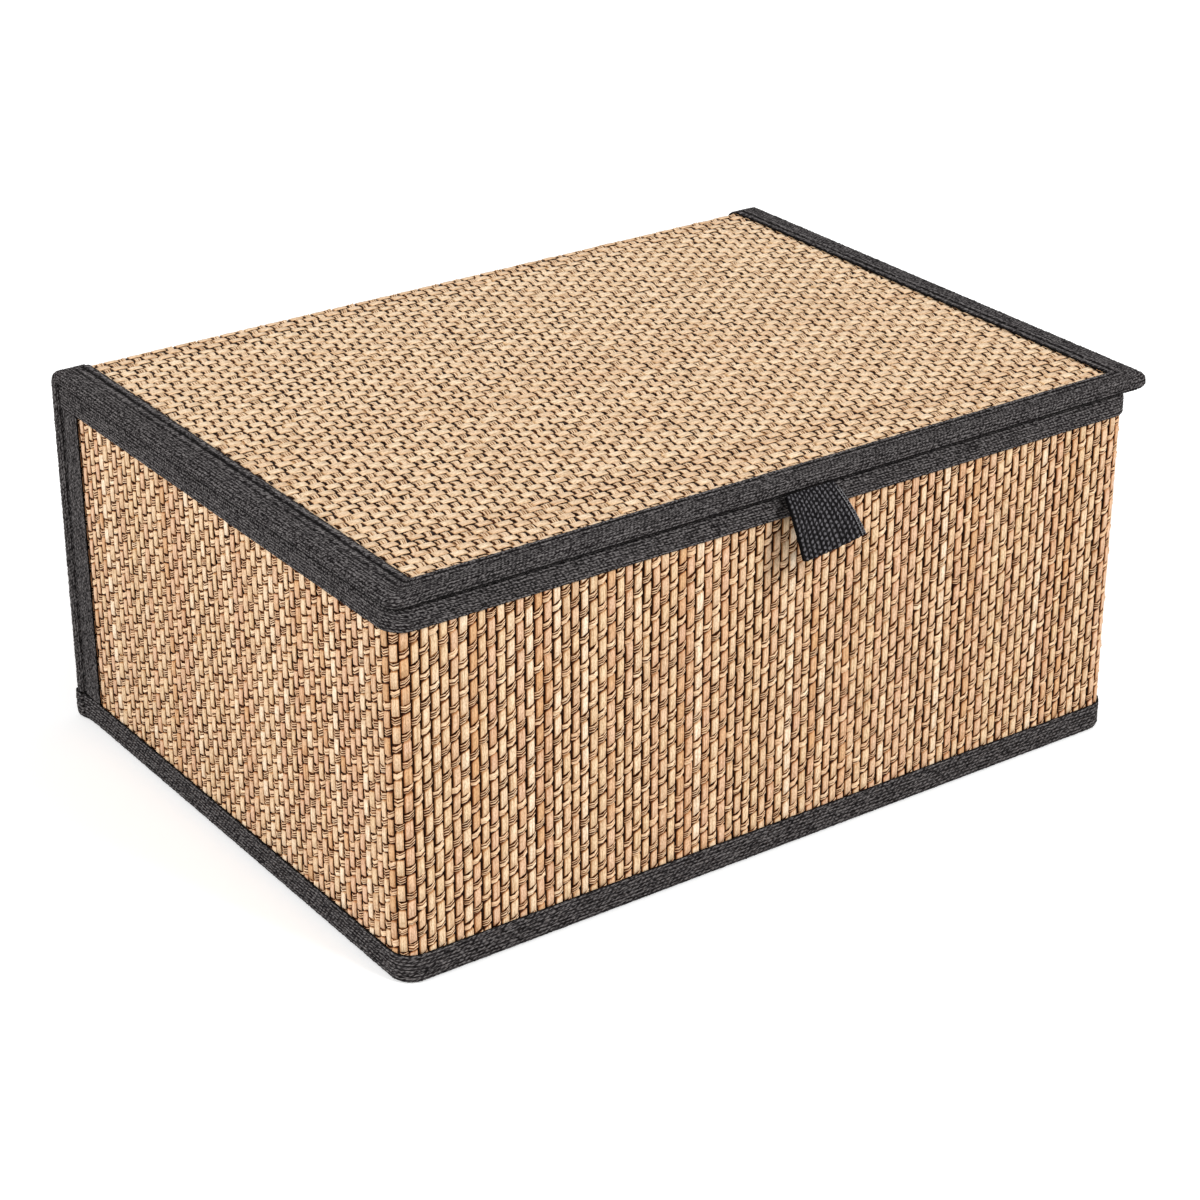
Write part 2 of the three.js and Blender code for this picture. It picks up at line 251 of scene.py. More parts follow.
# How far the weave strays from even
STICK_STRAY = 0.28 * MM
WRAP_STRAY = 0.22 * MM
MOST_STRAY = 0.8 * MM
RING_STRAY = 0.1 * MM
STICK_SWAY = 0.12 * MM
STICK_WAVE = 0.07 * MM
STICK_SPREAD = 0.035
STICK_TILT = 0.05
# Mean and spread of the painted shade where a stick dips under a wrap
DIP_SHADE = (0.85, 0.3)
TINT_DRIFT = 0.09
WRAP_SPREAD = 0.08
WRAP_SLANT = 0.13
WRAP_SWELL = 0.06 * MM
STRAND_SLIDE = 0.04
STRAND_CREST = 0.12 * MM
GROOVE_CUT = (0.95, 0.25)
CUT_RANGE = (0.1, 1.5)
CREST_CUT = (0.05, 0.12)
SHALLOW_CUT = 0.25
SHALLOW_SHARE = 0.3

# The tapes' weave
TAPE_STEP = 0.64 * MM
TAPE_ROW = 1.25 * MM
TAPE_HIDDEN_ROW = 3.5 * MM
FOOT_ROW = 1.5 * MM
TAPE_RIB = 0.16 * MM
TAPE_GRAIN = 0.08 * MM
TAPE_TINTS = 0.22
ROW_SHARES = (0.0, 0.5)
SELVAGE_ROW = 3.2 * MM
SELVAGE_SHARES = (0.0, 0.2, 0.5, 0.8)
SELVAGE_ROWS = 2
SELVAGE_RIB = 0.45 * MM
# Painted shade in the grooves between the wide rows
SELVAGE_SHADE = 0.13
# Half the width of the seam between two tapes, and the painted shade laid along it
SEAM = 0.6 * MM
SEAM_SHADE = 0.16
BEND_STATIONS = 31
BEND_BLEND = 0.27 * MM

# The pull tab. Its two sides hang at unlike angles and lengths, and it is gathered at its seam and tip.
TAB_LENGTH = 25 * MM
TAB_LAYER = 0.85 * MM
TAB_INSIDE = 0.68 * MM
TAB_CELL = 1.75 * MM
TAB_ROWS = 13
TAB_RIB = 0.22 * MM
TAB_GRAIN = 0.12 * MM
TAB_START, TAB_START_TWIST = math.radians(33.5), math.radians(8.5)
TAB_END, TAB_END_TWIST = math.radians(65), math.radians(12)
TAB_LENGTH_SHARES = (0.95, 0.035)
TAB_SEAM_GATHER = 0.24
TAB_TIP_GATHER = 0.09
TAB_TAPER = 0.02
TAB_SHIFT = (1.2 * MM, 1.3 * MM)
THREAD_RADIUS = 0.15 * MM
THREAD_START = 3.2 * MM
THREAD_END = 24.5 * MM
THREAD_PLACES = (0.87, 0.96)

# Linings
LINING_DEPTH = 4.4 * MM
LINING_THICKNESS = 0.4 * MM
CLOTH_STEP = 4 * MM
WALL_CLOTH_STEP = 1.6 * MM
BEND_STEP = 0.4 * MM
RIPPLE_WAVES = (61, 47, 23, 37)
LINING_RIPPLE = 0.07 * MM
FLOOR_RIPPLE = 0.06 * MM

# Light and camera
SKY_LIGHT = 0.5
FLOOR_LIFT = 0.35
FLOOR_HALF = 2.6
LAMP_SIZE = 1.6
LAMPS = {"key": ((1.5, -3.4, 2.8), 152), "side": ((-3.8, 0.6, 2.1), 116)}
LAMP_AIM = (0, 0, 0.08)
RAYS = ("Camera", "Glossy", "Transmission")
LENS, SENSOR = 89.6, 36
EYE = (-0.6258, -0.8907, 0.5874)
EYE_TURN = (math.radians(90 - 26.07), 0, math.radians(-35.29))

# Margins of a piece's map: round each cell, along and across, and of the end faces in those margins
CELL_END = 0.05
CELL_SIDE = 0.03
CAP_PLACE = 0.02
CAP_REACH = (0.012, 0.4)


# Meshes

def atlas_cells(count, length, girth):
    """How tubes lie on a square map: segments a tube, and the map's columns and rows of segments."""
    segments = max(1, round(math.sqrt(length / (girth * count))))
    columns = max(1, round(math.sqrt(count * segments * girth / (length / segments))))
    return segments, columns, math.ceil(count * segments / columns)


def side_map(count, rings, corners, grid):
    """Map coordinates of the four corners of every side face, each tube unrolled in cells of its own."""
    segments, columns, rows = grid
    tube, ring, corner = np.meshgrid(np.arange(count), np.arange(rings), np.arange(corners), indexing="ij")
    run = math.ceil(rings / segments)
    cell = tube * segments + ring // run
    across = np.stack([corner, corner + 1, corner + 1, corner], axis=-1) / corners
    ring = ring % run
    along = np.stack([ring, ring, ring + 1, ring + 1], axis=-1) / run
    u = (cell % columns)[..., None] + CELL_END + (1 - 2 * CELL_END) * along
    v = (cell // columns)[..., None] + CELL_SIDE + (1 - 2 * CELL_SIDE) * across
    return np.stack([u / columns, v / rows], axis=-1).reshape(-1, 4, 2)


def cap_map(count, corners, grid):
    """Map coordinates of the two end faces of every tube, in the margins of its cells."""
    segments, columns, rows = grid
    turn = np.linspace(0, 2 * math.pi, corners, endpoint=False)
    first = np.arange(count) * segments
    ends = []
    for cell, place in ((first, CAP_PLACE), (first + segments - 1, 1 - CAP_PLACE)):
        u = (cell % columns)[:, None] + place + CAP_REACH[0] * np.cos(turn)
        v = (cell // columns)[:, None] + 0.5 + CAP_REACH[1] * np.sin(turn)
        ends.append(np.stack([u / columns, v / rows], axis=-1))
    return np.concatenate(ends).reshape(-1, 2)


def signed_volume(points, faces):
    a, b, c, d = (points[faces[:, k]] for k in range(4))
    return np.einsum("ij,ij->", a, np.cross(b, c) + np.cross(c, d))


def tubes(name, points, material, strand, shade, tint, closed=False):
    """Closed skins through rings of points, shaped (tubes, rings, corners, 3), as one object. strand holds
    each point's place along and around its strand, and the strand's number, for the materials."""
    count, rings, corners, _ = points.shape
    index = np.arange(count * rings * corners).reshape(count, rings, corners)
    here = index if closed else index[:, :-1]
    there = np.roll(index, -1, axis=1) if closed else index[:, 1:]
    sides = np.stack([here, np.roll(here, -1, axis=2), np.roll(there, -1, axis=2), there], axis=-1)
    length = np.linalg.norm(np.diff(points[0, :, 0], axis=0), axis=-1).sum()
    girth = np.linalg.norm(points[0, 0] - np.roll(points[0, 0], 1, axis=0), axis=-1).sum()
    grid = atlas_cells(count, length, girth)
    uv = side_map(count, sides.shape[1], corners, grid)
    faces = [sides.reshape(-1, 4)]
    if not closed:
        faces.append(np.concatenate([index[:, 0, ::-1], index[:, -1]]))
    flat = points.reshape(-1, 3)
    if signed_volume(flat, faces[0]) < 0:
        faces = [part[:, ::-1] for part in faces]
        uv = uv[:, ::-1]
    uv = uv.reshape(-1, 2)
    if not closed:
        uv = np.concatenate([uv, cap_map(count, corners, grid)])
    loops = np.concatenate([part.ravel() for part in faces])
    sizes = np.concatenate([np.full(len(part), part.shape[1]) for part in faces])
    mesh = bpy.data.meshes.new(name)
    mesh.vertices.add(len(flat))
    mesh.vertices.foreach_set("co", flat.ravel().astype(np.float32))
    mesh.loops.add(len(loops))
    mesh.loops.foreach_set("vertex_index", loops.astype(np.int32))
    mesh.polygons.add(len(sizes))
    mesh.polygons.foreach_set("loop_start", (np.cumsum(sizes) - sizes).astype(np.int32))
    mesh.update(calc_edges=True)
    mesh.polygons.foreach_set("use_smooth", np.ones(len(sizes), bool))
    mesh.uv_layers.new(name="OFBake").data.foreach_set("uv", uv.ravel().astype(np.float32))
    store(mesh, "strand", strand, points.shape, "FLOAT_VECTOR", "vector")
    store(mesh, "shade", shade, points.shape[:3])
    store(mesh, "tint", tint, points.shape[:3])
    mesh.materials.append(material)
    return linked(name, mesh)


def store(mesh, name, values, shape, kind="FLOAT", field="value"):
    """Keeps numbers on a mesh's points, spread to a shape."""
    values = np.ascontiguousarray(np.broadcast_to(values, shape), dtype=np.float32)
    mesh.attributes.new(name, kind, "POINT").data.foreach_set(field, values.ravel())


def linked(name, data):
    """A new object in the scene."""
    made = bpy.data.objects.new(name, data)
    bpy.context.scene.collection.objects.link(made)
    return made


def join_tubes(name, parts, material):
    """Tubes with unlike numbers of rings, made as one object."""
    made = [tubes(name, part[0], material, *part[1:]) for part in parts if len(part[0])]
    if len(made) > 1:
        for half, piece in enumerate(made):
            shift_map(piece, half)
        with bpy.context.temp_override(active_object=made[0], selected_editable_objects=made):
            bpy.ops.object.join()
    made[0].name = name
    made[0].data.name = name
    return made[0]


def shift_map(piece, half):
    """Puts a piece's map in the left or the right half of the square."""
    data = piece.data.uv_layers["OFBake"].data
    uv = np.empty(len(data) * 2, np.float32)
    data.foreach_get("uv", uv)
    uv[::2] = uv[::2] / 2 + half / 2
    data.foreach_set("uv", uv)


def stack(*parts):
    """Arrays of numbers, spread to one shape, as one array of vectors."""
    return np.stack(np.broadcast_arrays(*parts), axis=-1)


def steps(start, stop, step):
    return np.linspace(start, stop, max(2, round(abs(stop - start) / step) + 1))


def stands_for(piece, node, slot, body=None):
    """Puts a piece in a node's place. A piece that bends with a joint has no body of its own."""
    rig.replaces(piece, node)
    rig.slot(piece, slot)
    if body:
        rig.ride(piece, body)


# Surfaces. Each takes a place across and along a panel and a depth below its outer tape face.

def walls(across, along, depth):
    """Round the left, front and right walls, from the left rear edge. Along is the height."""
    radius = WALL_CORNER - MAT_DEPTH
    past = across - SIDE_RUN
    first = np.clip(across, None, SIDE_RUN)
    front = np.clip(past - CORNER_RUN, 0, FRONT_RUN)
    last = np.clip(past - 2 * CORNER_RUN - FRONT_RUN, 0, None)
    turn = np.clip(past / radius, 0, QUARTER) + np.clip((past - CORNER_RUN - FRONT_RUN) / radius, 0, QUARTER)
    reach = WALL_CORNER - depth
    x = -SIDE + WALL_CORNER + front - reach * np.cos(turn)
    y = WALL_HIGH.y - first + last - reach * np.sin(turn)
    return stack(x, y, along)


def strip(across, along, depth):
    """From the lid's front edge over the hinge bend and down the back. Along is x."""
    on_lid = np.clip(across, None, LID_RUN)
    turn = np.clip((across - LID_RUN) / BEND_RADIUS, 0, QUARTER)
    down = np.clip(across - LID_RUN - BEND_RUN, 0, None)
    reach = TAPE_BEND_RADIUS - depth
    y = LID_MAT_LOW.y + on_lid + reach * np.sin(turn)
    z = BEND_Z - down + reach * np.cos(turn)
    return stack(along, y, z)


def level_plane(level):
    """A flat surface at a level, with depth counted upwards."""
    return lambda across, along, depth: stack(along, across, level + depth)


# The woven mat

def wrap_places(start, stop):
    """The numbers of the wraps between two places, and one more before them."""
    return np.arange(math.floor(start / WRAP_PERIOD) - 1, math.ceil(stop / WRAP_PERIOD) + 1)


def stick_rings(parity, shares, start, stop):
    """A stick's rings between start and stop: their places, counted in wraps too, how far each is raised,
    how wide it is and how much painted shade it gets, which is full where it dips under a wrap."""
    lifts = np.array([-1.0, -0.14, 0.05, -0.14, -1.0])
    widths = np.array([0.93, 0.99, 1.0, 0.99, 0.93])
    # Painted shade on each ring, full where the stick dips under a wrap
    dark = np.array([1.0, 0.08, 0.0, 0.08, 1.0])
    places = wrap_places(start, stop)
    base = ((places + parity / 2)[:, None] + shares) * WRAP_PERIOD
    keep = (base > start) & (base < stop)
    rings = [np.broadcast_to(row, base.shape)[keep] for row in (lifts, widths, dark)]
    return base[keep], (places[:, None] - places[0] + shares)[keep], *rings


def stick_jitter(sticks, start, stop):
    """How far each wrap of each stick strays from its even place."""
    whole = random.normal(0, STICK_STRAY, (sticks, 1))
    each = random.normal(0, WRAP_STRAY, (sticks, len(wrap_places(start, stop)) + 1))
    return np.clip(whole + each, -MOST_STRAY, MOST_STRAY)


def at_share(jitter, share):
    low = np.floor(share).astype(int)
    part = share - low
    return jitter[:, low] * (1 - part) + jitter[:, low + 1] * part


def smooth_noise(rows, columns, stretch):
    """Rows of random numbers about 0 that change slowly along each row."""
    knots = random.normal(0, 1, (rows, columns // stretch + 3))
    place = np.arange(columns) / stretch
    part = place % 1
    return at_share(knots, place - part + part * part * (3 - 2 * part))


def stick_tint(numbers):
    """A tint from 0 to 1 for each stick, the same for a number each time."""
    return np.modf(np.abs(np.sin(numbers * 12.9898 + 4.1) * 43758.5453))[0]


def sticks(name, surface, mat, start, stop, looks):
    """One flat split-bamboo stick at each centre, low under its wraps and raised between them."""
    centres, numbers, jitter = mat
    edges = looks["edges"]
    section_x = np.array([-0.5, -0.28, 0.36, 0.5, 0.42, -0.42])
    section_z = np.array([-0.34, 0.0, 0.0, -0.34, -1.0, -1.0])
    # Painted shade on the stick's two top edges and full on its underside, in the gaps between sticks
    section_shade = np.array([edges[0], 0.0, 0.0, edges[1], 1.0, 1.0])
    sides = [np.diff(section, prepend=section[0]) for section in (section_x, section_z)]
    girth = np.cumsum(np.hypot(sides[0] * looks["width"], sides[1] * STICK_THICKNESS))
    parts = []
    for parity in (0, 1):
        chosen = numbers % 2 == parity
        base, share, lift, width, dark = stick_rings(parity, looks["shares"], start, stop)
        count, rings = int(chosen.sum()), len(base)
        wide = looks["width"] * random.normal(1, STICK_SPREAD, (count, 1))
        tilt = random.normal(0, STICK_TILT, (count, 1, 1))
        sway = smooth_noise(count, rings, 6) * STICK_SWAY
        level = smooth_noise(count, rings, 5) * STICK_WAVE
        along = base + at_share(jitter[chosen], share) + random.normal(0, RING_STRAY, (count, rings))
        across = centres[chosen][:, None] + sway
        lateral = section_x * (wide * width)[..., None]
        along = along[..., None] + looks["lean"] * lateral
        along = np.clip(along, start + STICK_END, stop - STICK_END)
        height = level[..., None] + (lift * STICK_DIP)[None, :, None] + section_z * STICK_THICKNESS
        points = surface(across[..., None] + lateral, along, MAT_DEPTH - height - tilt * lateral)
        # Painted shade where the stick dips under its wraps, varied from stick to stick, and on its edges and
        # underside
        dip_shade = np.clip(dark[None, :, None] * random.normal(*DIP_SHADE, (count, rings, 1)), 0, 1)
        shade = np.maximum(dip_shade, section_shade)
        strand = stack(along, girth, numbers[chosen][:, None, None] * STICK_SEED)
        tint = stick_tint(numbers[chosen])[:, None] + TINT_DRIFT * smooth_noise(count, rings, 5)
        tint = np.clip(0.5 + looks["spread"] * (tint - 0.5), 0, 1)[..., None]
        parts.append((points, strand, shade, tint))
    return join_tubes(name, parts, looks["sticks"])


def wraps(name, surface, mat, start, stop, looks):
    """The bundles of thin strands that cross over the sticks, one patch at each crossing."""
    centres, numbers, jitter = mat
    reach = np.array([-0.55, -0.4, 0.0, 0.45, 0.6])[:, None]
    arch = np.array([-1.25, -0.3, 0.24, -0.3, -1.2])[:, None] * MM
    pinch = np.array([0.8, 0.98, 1.0, 0.98, 0.84])[:, None]
    relief = np.array([0.5, 0.95, 1.0, 0.95, 0.5])[:, None]
    strand_x = np.array([-0.5, -0.32, -0.16, 0.01, 0.18, 0.35, 0.5, 0.42, -0.42])
    strand_z = np.array([-0.55, 0.0, -0.45, 0.05, -0.45, 0.0, -0.5, -0.95, -0.95]) * MM
    # Painted shade in the grooves between strands, at the bundle's edges, and at its ends where the strands dive
    # between the sticks
    inner = looks["groove"]
    groove = np.array([1.0, 0.0, inner, 0.0, inner, 0.0, 1.0, 1.0, 1.0])
    outline = np.array(looks["outline"])[:, None]
    margin = WRAP_WIDTH / 2 + STICK_END
    places = wrap_places(start, stop)
    parts = []
    for parity in (0, 1):
        chosen = np.flatnonzero(numbers % 2 == parity)
        middle = (places + parity / 2) * WRAP_PERIOD
        inside = (middle > start + margin) & (middle < stop - margin)
        along = middle[inside] + jitter[chosen][:, places[inside] - places[0]]
        count = along.size
        along = along.reshape(-1, 1, 1)
        centre = np.repeat(centres[chosen], inside.sum()).reshape(-1, 1, 1)
        number = np.repeat(numbers[chosen], inside.sum())
        width = WRAP_WIDTH * random.normal(1, WRAP_SPREAD, (count, 1, 1))
        slant = random.normal(looks["lean"], WRAP_SLANT, (count, 1, 1))
        swell = random.normal(0, WRAP_SWELL, (count, 1, 1))
        # Corners 2 and 4 lie in the inner grooves, and the last two under the patch
        cut = np.clip(random.normal(*GROOVE_CUT, (count, 1, 9)), *CUT_RANGE)
        cut[..., 2:5:2] *= np.where(random.random((count, 1, 2)) < SHALLOW_SHARE, SHALLOW_CUT, 1.0)
        cut[..., 1::2] = random.normal(*CREST_CUT, cut[..., 1::2].shape)
        cut[..., 7:] = 1
        slide = random.normal(0, STRAND_SLIDE, (count, 1, 9))
        slide[..., 7:] = 0
        side = reach * STICK_PITCH
        bow = looks["curve"] * (2 * reach) ** 2 - looks["curve"] / 2
        lengthwise = along + (strand_x + slide) * width * pinch + slant * side + bow
        share = cut * relief
        share[..., 7:] = 1
        height = arch + swell + strand_z * share
        height = height + STRAND_CREST * random.normal(0, 1, (count, 1, 9)) * (groove == 0)
        points = surface(centre + side, lengthwise, MAT_DEPTH - height)
        # Each point takes the deeper of its groove's painted shade and its end's
        shade = np.maximum(groove * np.clip(cut, 0, 1), outline)
        seed = (number * WRAP_SEED + random.random(count))[:, None, None]
        strand = stack(side, lengthwise, seed)
        tint = 0.3 * stick_tint(number)[:, None, None] + 0.4 * random.random((count, 1, 1))
        tint = tint + 0.3 * random.random((count, 1, 9))
        parts.append((points, strand, shade, 0.5 + looks["spread"] * (tint - 0.5)))
    return join_tubes(name, parts, looks["strands"])


def sheet_layer(name, surface, across, along, depth, thickness, material, ripple=0.0, number=0):
    """A thin closed sheet that follows a surface between two depths. number is the sheet's own, and moves
    its ripples and its weave."""
    u, v = np.meshgrid(across, along, indexing="ij")
    a, b, c, d = RIPPLE_WAVES
    wave = np.sin(u * a + number) * np.cos(v * b + 2 * number) + 0.5 * np.sin(u * c - v * d + number)
    level = depth + ripple * wave
    points = np.concatenate([surface(u, v, level), surface(u, v, level + thickness)[:, ::-1]], axis=1)
    u, v = (np.concatenate([part, part[:, ::-1]], axis=1) for part in (u, v))
    return tubes(name, points[None], material, stack(v, u, 0.5 * number), 0, 0.5)


# Tapes folded over an edge

def section_rows(marks, legs, point, inside):
    """A tape's section as rows of (inward, depth, inward normal, depth normal, place, half rows). point
    gives the outside on each leg, and inside holds the corners on the tape's way back."""
    ends = np.cumsum([0, *legs])
    rows = []
    for place, row in marks:
        leg = min(int(np.searchsorted(ends[1:], place)), len(legs) - 1)
        rows.append((*point(leg, place - ends[leg]), place, row))
    return np.array(rows + [(a, d, 0, 0, ends[-1], -1) for a, d in inside])


def fold_section(band, selvage=0):
    """The section of a tape folded over an edge, from the end of its outer leg round to the inner one's.
    selvage is the number of wide rows of yarns next to its outer edge."""
    fold = FOLD_RADIUS
    legs = [band - fold, fold * QUARTER, PANEL - 2 * fold, fold * QUARTER, band - fold]
    shown = sum(legs[:4])
    marks = [(0.0, 0.0)]
    if selvage:
        marks = row_places(0, selvage * SELVAGE_ROW, SELVAGE_ROW, 0, SELVAGE_SHARES)
    marks += row_places(marks[-1][0], shown, TAPE_ROW, marks[-1][1])[1:]
    marks += row_places(shown, sum(legs), TAPE_HIDDEN_ROW, marks[-1][1])[1:]

    def point(leg, rest):
        sine, cosine = math.sin(rest / fold), math.cos(rest / fold)
        return (
            (band - rest, 0, 0, -1),
            (fold - fold * sine, fold - fold * cosine, -sine, -cosine),
            (0, fold + rest, -1, 0),
            (fold - fold * cosine, PANEL - fold + fold * sine, -cosine, sine),
            (fold + rest, PANEL, 0, 1),
        )[leg]

    thick = TAPE_THICKNESS
    inside = [(band, PANEL - thick), (FOLD_CORNER, PANEL - thick), (FOLD_THICKNESS, PANEL / 2)]
    inside += [(FOLD_CORNER, thick), (band, thick)]
    return section_rows(marks, legs, point, inside)


def row_places(start, stop, pitch, first=0, shares=ROW_SHARES):
    """Places at the given shares of each whole row of yarns from start to stop, with the rows' numbers."""
    count = max(1, round((stop - start) / pitch))
    rows = np.append((np.arange(count)[:, None] + np.array(shares)).ravel(), count)
    return [(start + (stop - start) * row / count, first + row) for row in rows]


def foot_section(height, under):
    """The base tape's section: up the wall from its top edge, round the foot and under it."""
    fold = FOLD_RADIUS
    legs = [height - fold, fold * QUARTER, under - fold]
    marks = row_places(0, sum(legs[:2]), FOOT_ROW)
    marks += row_places(sum(legs[:2]), sum(legs), TAPE_HIDDEN_ROW, marks[-1][1])[1:]

    def point(leg, rest):
        sine, cosine = math.sin(rest / fold), math.cos(rest / fold)
        return (
            (0, height - rest, -1, 0),
            (fold - fold * cosine, fold - fold * sine, -cosine, -sine),
            (fold + rest, 0, 0, -1),
        )[leg]

    thick = TAPE_THICKNESS
    inside = [(under, thick), (FOOT_CORNER, thick), (thick, FOOT_CORNER), (thick, height)]
    return section_rows(marks, legs, point, inside)


def binding(name, outer, inner, face, band, section, material, closed=False, ridged=0.0, seam=(0, 0)):
    """A tape swept along an edge. outer is the edge's rail, inner the rail a band further in, and face the
    direction that the panel's outer face looks in. ridged is how far the wide rows next to the tape's outer
    edge reach, with painted shade in the grooves between them, and seam where painted shade darkens the tape
    next to another. The tape's hidden inner rows get full painted shade."""
    run = np.concatenate([[0], np.cumsum(np.linalg.norm(np.diff(outer, axis=0), axis=-1))])
    inward, depth, normal_a, normal_d, place, row = section.T
    ribbed = row >= 0
    crest = np.where(ribbed, 1 - (2 * (row - np.floor(row)) - 1) ** 4, 0.0)
    rib = np.where(place < ridged, SELVAGE_RIB, TAPE_RIB)
    bulge = rib * (crest - 0.5) * ribbed + random.normal(0, TAPE_GRAIN, (len(run), len(row))) * ribbed
    a = inward + bulge * normal_a
    d = depth + bulge * normal_d
    face = np.broadcast_to(face, outer.shape)
    points = outer[:, None] + (inner - outer)[:, None] * (a / band)[..., None] - face[:, None] * d[..., None]
    # Painted shade: full on the tape's hidden inner rows, in the grooves between the wide rows, and along the seam
    # with the next tape
    shade = np.where(ribbed, 0.0, 1.0) + np.where(place < ridged, SELVAGE_SHADE * (1 - crest), 0.0)
    shade = shade + np.where((place > seam[0]) & (place < seam[1]), SEAM_SHADE, 0.0)
    tint = np.clip(0.5 + random.normal(0, TAPE_TINTS, a.shape), 0, 1)
    return tubes(name, points[None], material, stack(run[:, None], place, row), shade, tint, closed)


def rounded_path(corners, radii, closed=False):
    """Points about a tape step apart along a plan outline with rounded corners, with outward normals. The
    outline goes anticlockwise, and each point is worked out as one complex number, x + yi."""
    corners = np.array([complex(*corner) for corner in corners])
    ways = np.roll(corners, -1) - corners
    ways = ways / np.abs(ways)
    count = len(corners)
    turns = [corner_arc(corners[k], ways[k - 1], ways[k], radii[k]) for k in range(count)]
    if not closed:
        turns[0] = (corners[:1], [-1j * ways[0]])
        turns[-1] = (corners[-1:], [-1j * ways[-2]])
    points, normals = [], []
    for k, (arc, facing) in enumerate(turns):
        points.extend(arc)
        normals.extend(facing)
        if closed or k < count - 1:
            straight = turns[(k + 1) % count][0][0] - arc[-1]
            pieces = max(1, round(abs(straight) / TAPE_STEP))
            points.extend(arc[-1] + straight * np.arange(1, pieces) / pieces)
            normals.extend([-1j * ways[k]] * (pieces - 1))
    return [stack(np.real(part), np.imag(part)) for part in (points, normals)]


def corner_arc(corner, before, after, radius):
    """Points and outward normals round one corner of a plan outline, between two directions."""
    angle = np.angle(after / before)
    pieces = max(4, math.ceil(abs(angle) * radius / TAPE_STEP))
    normals = -1j * before * np.exp(1j * angle * np.arange(pieces + 1) / pieces)
    arms = np.sign(angle) * radius * normals
    return corner - before * radius * math.tan(abs(angle) / 2) - arms[0] + arms, normals


def nearest_on_plan(points, x0, x1, y0, y1, radius):
    """The nearest points of a slightly rounded rectangle to points outside it."""
    core = np.clip(points, (x0 + radius, y0 + radius), (x1 - radius, y1 - radius))
    arm = points - core
    return core + arm * (radius / np.linalg.norm(arm, axis=-1))[:, None]


def at_height(points, height):
    return stack(points[:, 0], points[:, 1], height)


# Materials

class Value:
    """A number that a shader works out at each point. It adds and multiplies as plain numbers do."""

    def __init__(self, tree, socket):
        self.tree = tree
        self.socket = socket

    def do(self, operation, other=0.0, clamp=False):
        inputs = {0: self, 1: other}
        node = add(self.tree, "ShaderNodeMath", inputs, operation=operation, use_clamp=clamp)
        return Value(self.tree, node.outputs[0])

    def __add__(self, other):
        return self.do("ADD", other)

    def __sub__(self, other):
        return self.do("SUBTRACT", other)

    def __mul__(self, other):
        return self.do("MULTIPLY", other)


def add(tree, kind, inputs=None, **properties):
    """A new shader node with its properties and inputs."""
    node = tree.nodes.new(kind)
    for name, value in properties.items():
        setattr(node, name, value)
    fill(tree, node, inputs or {})
    return node


def fill(tree, node, inputs):
    """Gives a node its inputs. One that is worked out is linked, and any other is set on the node."""
    for name, value in inputs.items():
        source = value.socket if isinstance(value, Value) else value
        if isinstance(source, bpy.types.NodeSocket):
            tree.links.new(source, node.inputs[name])
        else:
            node.inputs[name].default_value = source


def blend_colour(tree, factor, a, b, mode="MIX"):
    node = add(tree, "ShaderNodeMix", {0: factor, 6: a, 7: b}, data_type="RGBA", blend_type=mode)
    return node.outputs[2]


def ramp(tree, factor, stops):
    node = add(tree, "ShaderNodeValToRGB", {0: factor})
    line = node.color_ramp
    while len(line.elements) < len(stops):
        line.elements.new(0.5)
    for element, (place, colour) in zip(line.elements, stops):
        element.position = place
        element.color = (*colour, 1)
    return node.outputs[0]


def bumps(tree, height, strength, depth):
    inputs = {"Height": height, "Strength": strength, "Distance": depth}
    return add(tree, "ShaderNodeBump", inputs).outputs[0]


def attribute(tree, name, part="Fac"):
    return Value(tree, add(tree, "ShaderNodeAttribute", attribute_name=name).outputs[part])


def strand_parts(tree):
    """A point's place along and around its strand, and the strand's number."""
    parts = add(tree, "ShaderNodeSeparateXYZ", {0: attribute(tree, "strand", "Vector")}).outputs
    return [Value(tree, part) for part in parts]


def strand_noise(tree, scale, detail, slope=0.0):
    """Noise on a strand's own coordinates, turned by slope and stretched by scale along, around and from
    strand to strand."""
    place = attribute(tree, "strand", "Vector")
    if slope:
        place = add(tree, "ShaderNodeMapping", {"Vector": place, "Rotation": (0, 0, slope)}).outputs[0]
    place = add(tree, "ShaderNodeVectorMath", {0: place, 1: scale}, operation="MULTIPLY").outputs[0]
    noise = add(tree, "ShaderNodeTexNoise", {"Vector": place, "Scale": 1.0, "Detail": detail})
    return Value(tree, noise.outputs[0])


def new_material(name):
    material = bpy.data.materials.new(name)
    material.use_nodes = True
    tree = material.node_tree
    return material, tree, tree.nodes["Principled BSDF"]


